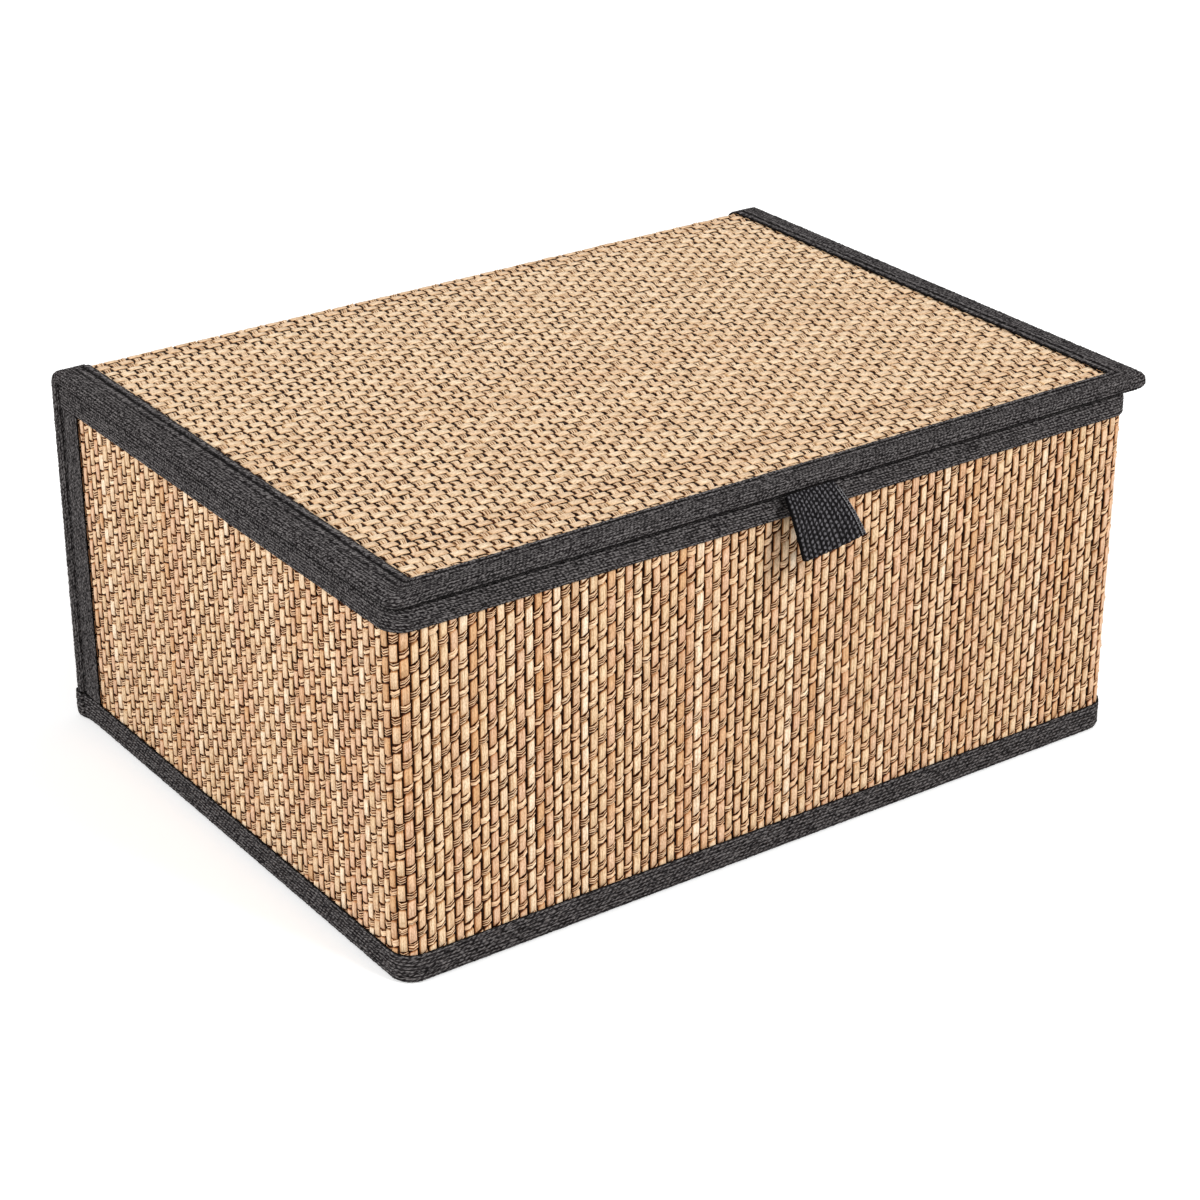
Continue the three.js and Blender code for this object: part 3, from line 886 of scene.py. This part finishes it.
def bamboo(name, stops, creases, rough):
    """Split bamboo: a tint for each strand, fine lengthwise fibres, and painted shade, from brown to near black, in
    the creases and gaps.
    """
    material, tree, shader = new_material(name)
    base = ramp(tree, attribute(tree, "tint"), stops)
    drift = strand_noise(tree, (28, 160, 9), 2)
    mottled = blend_colour(tree, drift * 0.55, base, (0.84, 0.66, 0.48, 1))
    fibre = strand_noise(tree, (55, 2600, 31), 3)
    streak = [(0.32, (0.68, 0.56, 0.46)), (0.5, (0.96, 0.95, 0.94)), (0.68, (1.08, 1.08, 1.08))]
    streaked = blend_colour(tree, 0.85, mottled, ramp(tree, fibre, streak), "MULTIPLY")
    speck = [(0.35, (0.74, 0.68, 0.6)), (0.5, (1, 1, 1)), (0.65, (1.2, 1.2, 1.2))]
    speckle = ramp(tree, strand_noise(tree, (900, 2400, 17), 2), speck)
    speckled = blend_colour(tree, 0.8, streaked, speckle, "MULTIPLY")
    # creases gives the colours of the painted shade as the shade attribute rises
    crease = ramp(tree, attribute(tree, "shade"), [(0.0, (1, 1, 1)), *creases])
    fill(tree, shader, {
        "Base Color": blend_colour(tree, 1.0, speckled, crease, "MULTIPLY"),
        "Roughness": fibre * 0.22 + (rough - 0.08),
        "Specular IOR Level": 0.12,
        "Normal": bumps(tree, fibre, 0.5, 0.08 * MM),
    })
    return material


def cotton(name, colours, cell, lean, weave, dash, slope):
    """Black cotton tape: slanted yarns in rows, with a painted highlight on their tops and painted shade between them.
    cell and lean are the yarns' length and lean, and weave is how much they show over the slanting dashes, whose scale
    is dash."""
    material, tree, shader = new_material(name)
    run, _, row = strand_parts(tree)
    whole = row.do("FLOOR")
    across = row - whole - 0.5
    place = run * (1 / cell) + whole * 0.5 + across * lean + strand_noise(tree, (240, 240, 3), 2) * 0.9
    swing = (place * (2 * math.pi)).do("COSINE") * 0.5 + 0.5
    crown = across * across * -4.0 + 1.0
    yarn = swing * crown.do("MAXIMUM").do("POWER", 3.0)
    fibre = strand_noise(tree, dash, 3, slope)
    patch = strand_noise(tree, (90, 130, 2), 3)
    raised = yarn * weave + fibre * (1 - weave)
    # Painted highlight on the yarns' tops and painted shade between them, over the tape's own fibres and patches, less
    # the shade attribute's painted shade
    lift = raised + YARN_LEVEL * weave + crown * 0.05 + patch * 0.14 + attribute(tree, "tint") * 0.08
    lift = lift - attribute(tree, "shade")
    fill(tree, shader, {
        "Base Color": ramp(tree, lift, list(zip((0.52, 0.625, 0.76), colours))),
        "Roughness": 0.95,
        "Specular IOR Level": 0.06,
        "Normal": bumps(tree, raised, 0.7, 0.4 * MM),
    })
    return material


def plain_cloth(name, dark, light, pitch):
    """Plain woven cloth: crossing threads with slubs."""
    material, tree, shader = new_material(name)
    run, around, _ = strand_parts(tree)
    warp, weft = ((part * (2 * math.pi / pitch)).do("SINE") for part in (run, around))
    slub = strand_noise(tree, (300, 45, 2), 3)
    lift = (warp * weft * 0.5 + 0.5) * 0.5 + slub * 0.6
    fill(tree, shader, {
        "Base Color": ramp(tree, lift, [(0.2, dark), (0.9, light)]),
        "Roughness": 0.93,
        "Specular IOR Level": 0.2,
        "Sheen Weight": 0.2,
        "Normal": bumps(tree, lift, 0.6, 0.1 * MM),
    })
    return material


def greyboard(name):
    """Plain brown board: pulp fibres and flecks."""
    material, tree, shader = new_material(name)
    place = add(tree, "ShaderNodeTexCoord").outputs["Object"]
    pulp = add(tree, "ShaderNodeTexNoise", {"Vector": place, "Scale": 700.0, "Detail": 5.0}).outputs[0]
    fleck = add(tree, "ShaderNodeTexVoronoi", {"Vector": place, "Scale": 420.0}).outputs["Distance"]
    base = ramp(tree, pulp, [(0.3, (0.36, 0.25, 0.14)), (0.7, (0.54, 0.4, 0.24))])
    spot = ramp(tree, fleck, [(0.06, (0.4, 0.3, 0.2)), (0.16, (1, 1, 1))])
    fill(tree, shader, {
        "Base Color": blend_colour(tree, 0.7, base, spot, "MULTIPLY"),
        "Roughness": 0.92,
        "Normal": bumps(tree, pulp, 0.4, 0.1 * MM),
    })
    return material


# The walls' bamboo and the lid's and back's are two copies whose tones were set face by face to how bright each face
# shows under the lamps: painted light over the mats' own tone. The second list of each is its painted shade.
WALL_STICKS = bamboo(
    "bamboo_sticks",
    [(0.0, (0.66, 0.36, 0.15)), (0.16, (0.75, 0.47, 0.31)), (0.38, (0.77, 0.53, 0.335)),
     (0.6, (0.8, 0.59, 0.355)), (0.8, (0.87, 0.66, 0.44)), (1.0, (0.97, 0.82, 0.63))],
    [(0.4, (0.72, 0.5, 0.32)), (0.75, (0.18, 0.075, 0.026)), (1.0, (0.045, 0.014, 0.002))],
    0.55,
)
WALL_STRANDS = bamboo(
    "bamboo_strands",
    [(0.0, (0.76, 0.48, 0.3)), (0.35, (0.9, 0.66, 0.46)),
     (0.65, (0.98, 0.78, 0.56)), (1.0, (1.0, 0.92, 0.78))],
    [(0.25, (0.96, 0.85, 0.71)), (0.5, (0.24, 0.1, 0.035)), (0.78, (0.03, 0.01, 0.002))],
    0.6,
)
STRIP_STICKS = bamboo(
    "strip_bamboo_sticks",
    [(0.0, (0.62, 0.43, 0.26)), (0.2, (0.72, 0.53, 0.36)), (0.5, (0.77, 0.61, 0.43)),
     (0.8, (0.83, 0.68, 0.5)), (1.0, (0.92, 0.79, 0.62))],
    [(0.25, (0.84, 0.66, 0.46)), (0.5, (0.1, 0.036, 0.01)), (0.8, (0.014, 0.004, 0.0005))],
    0.55,
)
STRIP_STRANDS = bamboo(
    "strip_bamboo_strands",
    [(0.0, (0.58, 0.4, 0.25)), (0.35, (0.69, 0.52, 0.37)),
     (0.65, (0.78, 0.63, 0.46)), (1.0, (0.9, 0.79, 0.65))],
    [(0.4, (0.9, 0.8, 0.68)), (0.65, (0.4, 0.24, 0.13)), (0.9, (0.02, 0.008, 0.002))],
    0.6,
)
# The dark cloth under the sticks is painted shade for the gaps between them
GAP_SHADE_CLOTH = plain_cloth("mat_backing", (0.026, 0.006, 0.001), (0.065, 0.02, 0.004), 1.1 * MM)
LINING = plain_cloth("lining_cloth", (0.008, 0.0075, 0.0075), (0.075, 0.07, 0.068), 1.0 * MM)
BOARD = greyboard("greyboard")

# The tapes: colours from the painted shade between their yarns through their own grey to the painted highlight on top,
# and the yarns' length and lean
BLACK = [(0.0042, 0.0036, 0.0036), (0.031, 0.0275, 0.028), (0.175, 0.162, 0.16)]
TAB_BLACK = [(0.0045, 0.0042, 0.0046), (0.018, 0.017, 0.0185), (0.12, 0.115, 0.122)]
GREY = [(0.02, 0.02, 0.022), (0.1, 0.098, 0.1), (0.32, 0.315, 0.32)]
YARN_LEVEL = 0.12
TAPE = cotton("black_tape", BLACK, 1.5 * MM, 0.6, 0.14, (560, 1900, 3), 0.28)
FOOT_TAPE = cotton("black_foot_tape", BLACK, 2.1 * MM, 0.6, 0.16, (380, 1900, 3), 0.2)
TAB_TAPE = cotton("black_tab_tape", TAB_BLACK, TAB_CELL, 0.5, 0.3, (620, 2400, 3), 0.6)
THREAD = cotton("grey_thread", GREY, 0.9 * MM, 0.6, 0.3, (900, 3000, 3), 0.6)


# The mats

# How each mat looks: its sticks' width, how much painted shade their two edges get, where along a wrap's
# period they dip and rise, how far the wraps lean and bend, how much painted shade the wraps' ends and
# grooves get, how far the tints spread, and the materials. On the walls one edge of each stick gets more
# painted shade than the other, and the left wall's wraps get darker ends.
WALL_LOOKS = {
    "width": 3.25 * MM,
    "edges": (0.8, 0.3),
    "shares": (0.15, 0.185, 0.5, 0.775, 0.815),
    "lean": 0.45,
    "curve": 0.35 * MM,
    "outline": (0.8, 0.2, 0.0, 0.0, 0.4),
    "groove": 1.0,
    "spread": 1.0,
    "sticks": WALL_STICKS,
    "strands": WALL_STRANDS,
}
LEFT_LOOKS = {
    **WALL_LOOKS,
    "shares": (0.15, 0.195, 0.5, 0.77, 0.815),
    "lean": 0.2,
    "curve": 0.6 * MM,
    "outline": (1.0, 0.35, 0.0, 0.05, 0.6),
}
STRIP_LOOKS = {
    "width": 3.6 * MM,
    "edges": (0.15, 0.15),
    "shares": (0.21, 0.25, 0.5, 0.75, 0.79),
    "lean": 0.0,
    "curve": 0.0,
    "outline": (0.5, 0.1, 0.0, 0.05, 0.38),
    "groove": 0.9,
    "spread": 0.6,
    "sticks": STRIP_STICKS,
    "strands": STRIP_STRANDS,
}


def laid(name, body, node, surface, mat, start, stop, looks):
    """The sticks and the wraps of one mat, riding on a body in a node's place."""
    stands_for(sticks(f"{name}_sticks", surface, mat, start, stop, looks), node, "bamboo", body)
    stands_for(wraps(f"{name}_strands", surface, mat, start, stop, looks), node, "bamboo", body)


def gap_shade_sheet(name, body, node, surface, across, along):
    """A dark sheet under the sticks of a mat: painted shade that shows in the gaps between them."""
    depth = MAT_DEPTH + GAP_SHADE_DEPTH
    piece = sheet_layer(name, surface, across, along, depth, GAP_SHADE_THICKNESS, GAP_SHADE_CLOTH)
    stands_for(piece, node, "bamboo", body)


def wall_mats():
    count = round(WALLS_RUN / STICK_PITCH)
    numbers = np.arange(count)
    centres = (numbers + 0.5) * WALLS_RUN / count
    start, stop = WALL_LOW.z, WALL_HIGH.z
    jitter = stick_jitter(count, start, stop)
    left, right = centres < LEFT_RUN, centres >= WALLS_RUN - LEFT_RUN
    for name, chosen in (("left", left), ("front", ~left & ~right), ("right", right)):
        mat = (centres[chosen], numbers[chosen], jitter[chosen])
        looks = LEFT_LOOKS if name == "left" else WALL_LOOKS
        laid(f"{name}_wall", "box", "wall_mat", walls, mat, start, stop, looks)
    across, along = steps(0, WALLS_RUN, WALL_GAP_SHADE_STEP), steps(start, stop, GAP_SHADE_LENGTH)
    gap_shade_sheet("wall_backing", "box", "wall_mat", walls, across, along)


def strip_mats():
    middle = LID_RUN + BEND_RUN / 2
    before = math.floor(middle / STICK_PITCH - 0.5)
    after = math.floor((STRIP_RUN - middle) / STICK_PITCH - 0.5)
    numbers = np.arange(-before, after + 1)
    centres = middle + numbers * STICK_PITCH
    start, stop = LID_MAT_LOW.x, LID_MAT_HIGH.x
    jitter = stick_jitter(len(numbers), start, stop)
    parts = {"lid": ("lid", numbers < 0), "hinge": ("hinge", numbers == 0), "back": ("box", numbers > 0)}
    for name, (body, chosen) in parts.items():
        mat = (centres[chosen], numbers[chosen], jitter[chosen])
        laid(name, body, f"{name}_mat", strip, mat, start, stop, STRIP_LOOKS)
    along = steps(start, stop, GAP_SHADE_LENGTH)
    across = steps(0, LID_RUN, GAP_SHADE_STEP)
    gap_shade_sheet("lid_backing", "lid", "lid_mat", strip, across, along)
    across = steps(LID_RUN + BEND_RUN, STRIP_RUN, GAP_SHADE_STEP)
    gap_shade_sheet("back_backing", "box", "back_mat", strip, across, along)
    for piece in bend_sheets("hinge_backing", along, MAT_DEPTH + GAP_SHADE_DEPTH, GAP_SHADE_THICKNESS, GAP_SHADE_CLOTH):
        stands_for(piece, "hinge_mat", "bamboo")


def bend_sheets(name, along, depth, thickness, material):
    """A sheet round the hinge bend in two pieces, each bending across one of its joints."""
    runs = (LID_RUN, LID_RUN + BEND_RUN / 2, LID_RUN + BEND_RUN)
    ends = [tuple(strip(np.array(run), np.array(0.0), depth)) for run in runs]
    made = []
    for k, (half, bodies) in enumerate((("upper", ("hinge", "lid")), ("lower", ("box", "hinge")))):
        across = steps(runs[k], runs[k + 1], BEND_STEP)
        made.append(sheet_layer(f"{name}_{half}", strip, across, along, depth, thickness, material))
        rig.blend(made[k], *bodies, start=ends[k + 1], end=ends[k])
    return made


# The tapes

def lid_binding():
    x0, x1, y0, y1 = LID_LOW.x, LID_HIGH.x, LID_LOW.y, BEND_Y
    plan, _ = rounded_path([(x0, y1), (x0, y0), (x1, y0), (x1, y1)], [0, LID_CORNER, LID_CORNER, 0])
    limits = (x0 + LID_LEFT_BAND, x1 - LID_BAND, y0 + LID_FRONT_BAND, y1 + LID_BAND)
    inner = nearest_on_plan(plan, *limits, BAND_CORNER)
    rails = (at_height(plan, LID_HIGH.z), at_height(inner, LID_HIGH.z), (0, 0, 1))
    section = fold_section(LID_BAND, SELVAGE_ROWS)
    # Painted shade along the lid tape's bottom fold, where it meets the rim
    bottom = LID_BAND + PANEL + (math.pi - 4) * FOLD_RADIUS
    looks = {"ridged": SELVAGE_ROWS * SELVAGE_ROW, "seam": (bottom - SEAM, bottom + SEAM)}
    made = binding("lid_binding", *rails, LID_BAND, section, TAPE, **looks)
    stands_for(made, "lid_tape", "tape", "lid")


def rim_binding():
    x, y0, y1 = SIDE, RIM_LOW.y, RIM_HIGH.y
    band = RIM_HIGH.z - RIM_LOW.z
    plan, normal = rounded_path([(-x, y1), (-x, y0), (x, y0), (x, y1)], [0, WALL_CORNER, WALL_CORNER, 0])
    rails = (at_height(plan, RIM_HIGH.z), at_height(plan, RIM_LOW.z), at_height(normal, 0))
    # Painted shade along the rim tape's top fold, under the lid
    top = band - FOLD_RADIUS + FOLD_RADIUS * QUARTER
    seam = (top - SEAM, top + 2 * SEAM)
    made = binding("rim_binding", *rails, band, fold_section(band), TAPE, seam=seam)
    stands_for(made, "rim_tape", "tape", "box")


def base_binding():
    x, y, step, under = SIDE, BASE_LOW.y, BACK - PANEL, BASE_TURN_UNDER
    rear = [(BASE_LOW.x, BACK), (BASE_HIGH.x, BACK)]
    corners = [(-x, y), (x, y), (x, step), (BASE_HIGH.x, step), *rear[::-1], (BASE_LOW.x, step), (-x, step)]
    radii = [WALL_CORNER] * 2 + [STEP_CORNER] * 2 + [FOLD_RADIUS] * 2 + [NOTCH_CORNER] * 2
    plan, normal = rounded_path(corners, radii, closed=True)
    for corner in rear:
        away = np.linalg.norm(plan - np.array(corner), axis=-1)
        plan = plan + normal * (FOOT_BULGE * np.exp(-(away / FOOT_BULGE_REACH) ** 2))[:, None]
    inner = nearest_on_plan(plan, under - x, x - under, y + under, BACK - under, BAND_CORNER)
    rails = (at_height(plan, 0), at_height(inner, 0), (0, 0, -1))
    section = foot_section(BASE_HIGH.z, under)
    made = binding("base_binding", *rails, under, section, FOOT_TAPE, closed=True)
    stands_for(made, "base_tape", "tape", "box")


def edge_binding(name, node, body, outer, way, face):
    """A tape along an edge of a side wall or of the back. way goes from the edge into the panel."""
    rails = (outer, outer + REAR_BAND * np.array(way), face)
    made = binding(name, *rails, REAR_BAND, fold_section(REAR_BAND), TAPE)
    stands_for(made, node, "tape", body)
    return made


def rear_bindings():
    """The tapes down the rear edges of the side walls."""
    for name, side in (("left", -1), ("right", 1)):
        edge = stack(side * SIDE, REAR_HIGH.y, steps(REAR_HIGH.z, REAR_LOW.z, TAPE_STEP))
        edge_binding(f"{name}_rear_binding", f"{name}_rear_tape", "box", edge, (0, -1, 0), (side, 0, 0))


def strip_bindings():
    """The tapes down both side edges of the back and round the hinge bend."""
    for name, x, way in (("left", LID_LOW.x, (1, 0, 0)), ("right", LID_HIGH.x, (-1, 0, 0))):
        edge = stack(x, BACK, steps(BEND_Z, BASE_HIGH.z, TAPE_STEP))
        edge_binding(f"back_{name}_binding", f"back_{name}_tape", "box", edge, way, (0, 1, 0))
        bend_binding(name, x, way)


def bend_binding(name, x, way):
    """The side tape round the hinge bend in two pieces. Each turns near its joint's axis."""
    centre = np.array([x, BEND_Y, BEND_Z])
    for half, start, bodies in (("upper", 0.0, ("hinge", "lid")), ("lower", QUARTER / 2, ("box", "hinge"))):
        turn = np.linspace(start, start + QUARTER / 2, BEND_STATIONS)
        face = stack(0, np.sin(turn), np.cos(turn))
        edge = centre + TAPE_BEND_RADIUS * face
        made = edge_binding(f"hinge_{name}_binding_{half}", f"hinge_{name}_tape", None, edge, way, face)
        middle = start + QUARTER / 4
        crease = centre + TAPE_BEND_RADIUS * np.array([0, math.sin(middle), math.cos(middle)])
        onward = BEND_BLEND * np.array([0, -math.cos(middle), math.sin(middle)])
        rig.blend(made, *bodies, start=tuple(crease - onward), end=tuple(crease + onward))


# The pull tab

def pull_tab():
    """A tape folded double at its tip, with ribs along it and a slight twist."""
    fold, corners = TAB_LAYER, 2 * TAB_ROWS + 1
    front = steps(0, TAB_LENGTH - fold, TAPE_STEP)
    turn = np.linspace(0, math.pi, 7)[1:-1]
    place = np.concatenate([front, TAB_LENGTH - fold + fold * np.sin(turn), front[::-1]])
    height = np.concatenate([np.full(len(front), fold), fold * np.cos(turn), np.full(len(front), -fold)])
    run = np.concatenate([[0], np.cumsum(np.hypot(np.diff(place), np.diff(height)))])[:, None]
    half_rows = np.arange(corners)
    half_rows = np.concatenate([half_rows, half_rows[::-4]])
    inside = np.arange(len(half_rows)) >= corners
    across = half_rows / TAB_ROWS - 1
    rib = half_rows % 2
    grain = rib * np.cos(2 * math.pi * (run / TAB_CELL + half_rows // 2 / 2)) - (np.abs(across) == 1)
    bump = np.where(inside, -TAB_INSIDE, TAB_RIB * rib + TAB_GRAIN * grain)
    points = tab_points(place[:, None], height[:, None], bump, across)
    strand = stack(run, across * TAB_HALF, half_rows / 2)
    # The rows inside the fold get full painted shade
    made = tubes("folded_tab", points[None], TAB_TAPE, strand, inside, random.random(bump.shape))
    stands_for(made, "pull_tab", "tape", "tab")


def tab_threads():
    """Two grey threads that run along the tab over its right edge."""
    place = steps(THREAD_START, THREAD_END, TAPE_STEP)[:, None]
    turn = np.linspace(0, 2 * math.pi, 6, endpoint=False)
    level = TAB_RIB + THREAD_RADIUS * (1 + np.sin(turn)) + 0 * place
    height = np.full(place.shape, TAB_LAYER)
    sway = THREAD_RADIUS / TAB_HALF * np.cos(turn)
    points = np.stack([tab_points(place, height, level, side + sway) for side in THREAD_PLACES])
    strand = stack(place, turn / (2 * math.pi), 0.5)
    made = tubes("tab_threads", points, THREAD, strand, 0, random.random(points.shape[:3]))
    stands_for(made, "pull_tab", "tape", "tab")


def tab_points(place, height, bump, across):
    """Points of the tab. place is the distance out from its seam, height the level above its middle, bump
    how far a point stands out from there, and across runs from -1 at the left edge to 1 at the right."""
    side = across * np.ones_like(bump)
    start = TAB_START - TAB_START_TWIST * side
    end = TAB_END - TAB_END_TWIST * side
    length = TAB_LENGTH * (TAB_LENGTH_SHARES[0] - TAB_LENGTH_SHARES[1] * side)
    share = np.clip(place / length, 0, 1)
    bend = length / (end - start)
    angle = start + (end - start) * share
    facing = height / TAB_LAYER
    level = height + bump * facing
    tip = bump * np.sqrt(1 - facing ** 2)
    out = bend * (np.sin(angle) - np.sin(start)) + level * np.sin(angle) + tip * np.cos(angle)
    down = bend * (np.cos(start) - np.cos(angle)) - level * np.cos(angle) + tip * np.sin(angle)
    gather = TAB_SEAM_GATHER * (1 - share) ** 1.5 + TAB_TIP_GATHER * share ** 3
    pinch = 1 - gather * (side < 0) - TAB_TAPER * share
    middle = (TAB_LOW.x + TAB_HIGH.x) / 2 + TAB_SHIFT[0] + TAB_SHIFT[1] * share
    _, pivot_y, pivot_z = TAB_JOINT["pos_m"]
    return stack(middle + TAB_HALF * side * pinch, pivot_y - out, pivot_z - down)


# The linings and the cloth under the box

def cloth(name, node, body, surface, across, along, layer, flat, rests_on, with_pieces=()):
    """A lining or the cloth under the box. layer holds a sheet's depth, thickness, material, ripple and
    number, and flat the cloth's size before it is glued down."""
    piece = sheet_layer(name, surface, across, along, *layer)
    stands_for(piece, node, "lining", body)
    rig.sheet(piece, flat=flat, held="stretched", rests_on=rests_on, with_pieces=with_pieces)


def linings():
    layer = (LINING_DEPTH, LINING_THICKNESS, LINING)
    low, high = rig.box("wall_lining")
    across, along = steps(0, WALLS_RUN, WALL_CLOTH_STEP), steps(low.z, high.z, CLOTH_STEP)
    run = WALLS_RUN - math.pi * (LINING_DEPTH + LINING_THICKNESS / 2 - MAT_DEPTH)
    place = ("wall_cloth", "wall_lining", "box", walls, across, along, (*layer, LINING_RIPPLE, 1))
    cloth(*place, (run, high.z - low.z), ["front_board", "left_board", "right_board"])
    width = LID_MAT_HIGH.x - LID_MAT_LOW.x
    along = steps(LID_MAT_LOW.x, LID_MAT_HIGH.x, CLOTH_STEP)
    bend = bend_sheets("hinge_cloth", along, *layer)
    for piece in bend:
        stands_for(piece, "hinge_lining", "lining")
    across = steps(0, LID_RUN, CLOTH_STEP)
    place = ("lid_cloth", "lid_lining", "lid", strip, across, along, (*layer, LINING_RIPPLE, 2))
    cloth(*place, (width, LID_RUN), ["lid_board"], bend)
    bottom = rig.box("back_lining")[0].z
    across = steps(LID_RUN + BEND_RUN, STRIP_RUN - (bottom - WALL_LOW.z), CLOTH_STEP)
    place = ("back_cloth", "back_lining", "box", strip, across, along, (*layer, LINING_RIPPLE, 3))
    cloth(*place, (width, BEND_Z - bottom), ["back_board"])


def floor_cloths():
    """The cloth on the floor inside and the one under the box."""
    pieces = {"floor_cloth": ("floor_lining", FLOOR_RIPPLE, 4), "foot_cloth": ("underside_cloth", 0.0, 5)}
    for name, (node, ripple, number) in pieces.items():
        low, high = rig.box(node)
        across, along = steps(low.y, high.y, CLOTH_STEP), steps(low.x, high.x, CLOTH_STEP)
        layer = (0, high.z - low.z, LINING, ripple, number)
        place = (name, node, "box", level_plane(low.z), across, along, layer)
        cloth(*place, (high.x - low.x, high.y - low.y), ["bottom_board"])


def boards():
    for name in ("bottom", "front", "left", "right", "back", "lid"):
        node = frame["nodes"][f"{name}_board"]
        node.data.materials.clear()
        node.data.materials.append(BOARD)


# The studio

def camera_sees(tree):
    """1 for a ray from the camera, a gloss or a glass, and 0 for the light that falls elsewhere."""
    rays = add(tree, "ShaderNodeLightPath").outputs
    seen, gloss, glass = (Value(tree, rays[f"Is {kind} Ray"]) for kind in RAYS)
    return (seen + gloss).do("ADD", glass, clamp=True)


def backdrop():
    """A pale floor that shows as white where no shadow lies on it."""
    material, tree, shader = new_material("studio_floor")
    seen = camera_sees(tree)
    fill(tree, shader, {
        "Base Color": blend_colour(tree, seen, (0.72, 0.72, 0.72, 1), (0.9, 0.9, 0.9, 1)),
        "Roughness": 1.0,
        "Specular IOR Level": 0.0,
        "Emission Color": (1, 1, 1, 1),
        "Emission Strength": seen * FLOOR_LIFT,
    })
    return material


def studio():
    mesh = bpy.data.meshes.new("studio_floor")
    corners = [(x * FLOOR_HALF, y * FLOOR_HALF, 0) for x, y in ((-1, -1), (1, -1), (1, 1), (-1, 1))]
    mesh.from_pydata(corners, [], [(0, 1, 2, 3)])
    mesh.materials.append(backdrop())
    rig.stage(linked("studio_floor", mesh))
    for name, values in LAMPS.items():
        lamp(name, *values)
    world = bpy.data.worlds.new("studio")
    bpy.context.scene.world = world
    world.use_nodes = True
    tree = world.node_tree
    strength = camera_sees(tree) * (1 - SKY_LIGHT) + SKY_LIGHT
    fill(tree, tree.nodes["Background"], {"Color": (1, 1, 1, 1), "Strength": strength})


def lamp(name, place, power):
    light = bpy.data.lights.new(name, "AREA")
    light.size = LAMP_SIZE
    light.energy = power
    made = linked(name, light)
    made.location = place
    x, y, z = np.array(LAMP_AIM) - np.array(place)
    made.rotation_euler = (math.atan2(math.hypot(x, y), -z), 0, math.atan2(-x, y))


def camera():
    lens = bpy.data.cameras.new("camera")
    lens.lens = LENS
    lens.sensor_width = SENSOR
    eye = linked("camera", lens)
    eye.location = EYE
    eye.rotation_euler = EYE_TURN
    bpy.context.scene.camera = eye


camera()
studio()
boards()
wall_mats()
strip_mats()
lid_binding()
rim_binding()
base_binding()
rear_bindings()
strip_bindings()
pull_tab()
tab_threads()
linings()
floor_cloths()

bpy.context.scene.view_settings.view_transform = "Standard"
sizes = {"cad": [list(corner) for corner in cad_box], "visual": [list(corner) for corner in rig.bounds()]}
with open("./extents.json", "w") as handle:
    json.dump(sizes, handle)
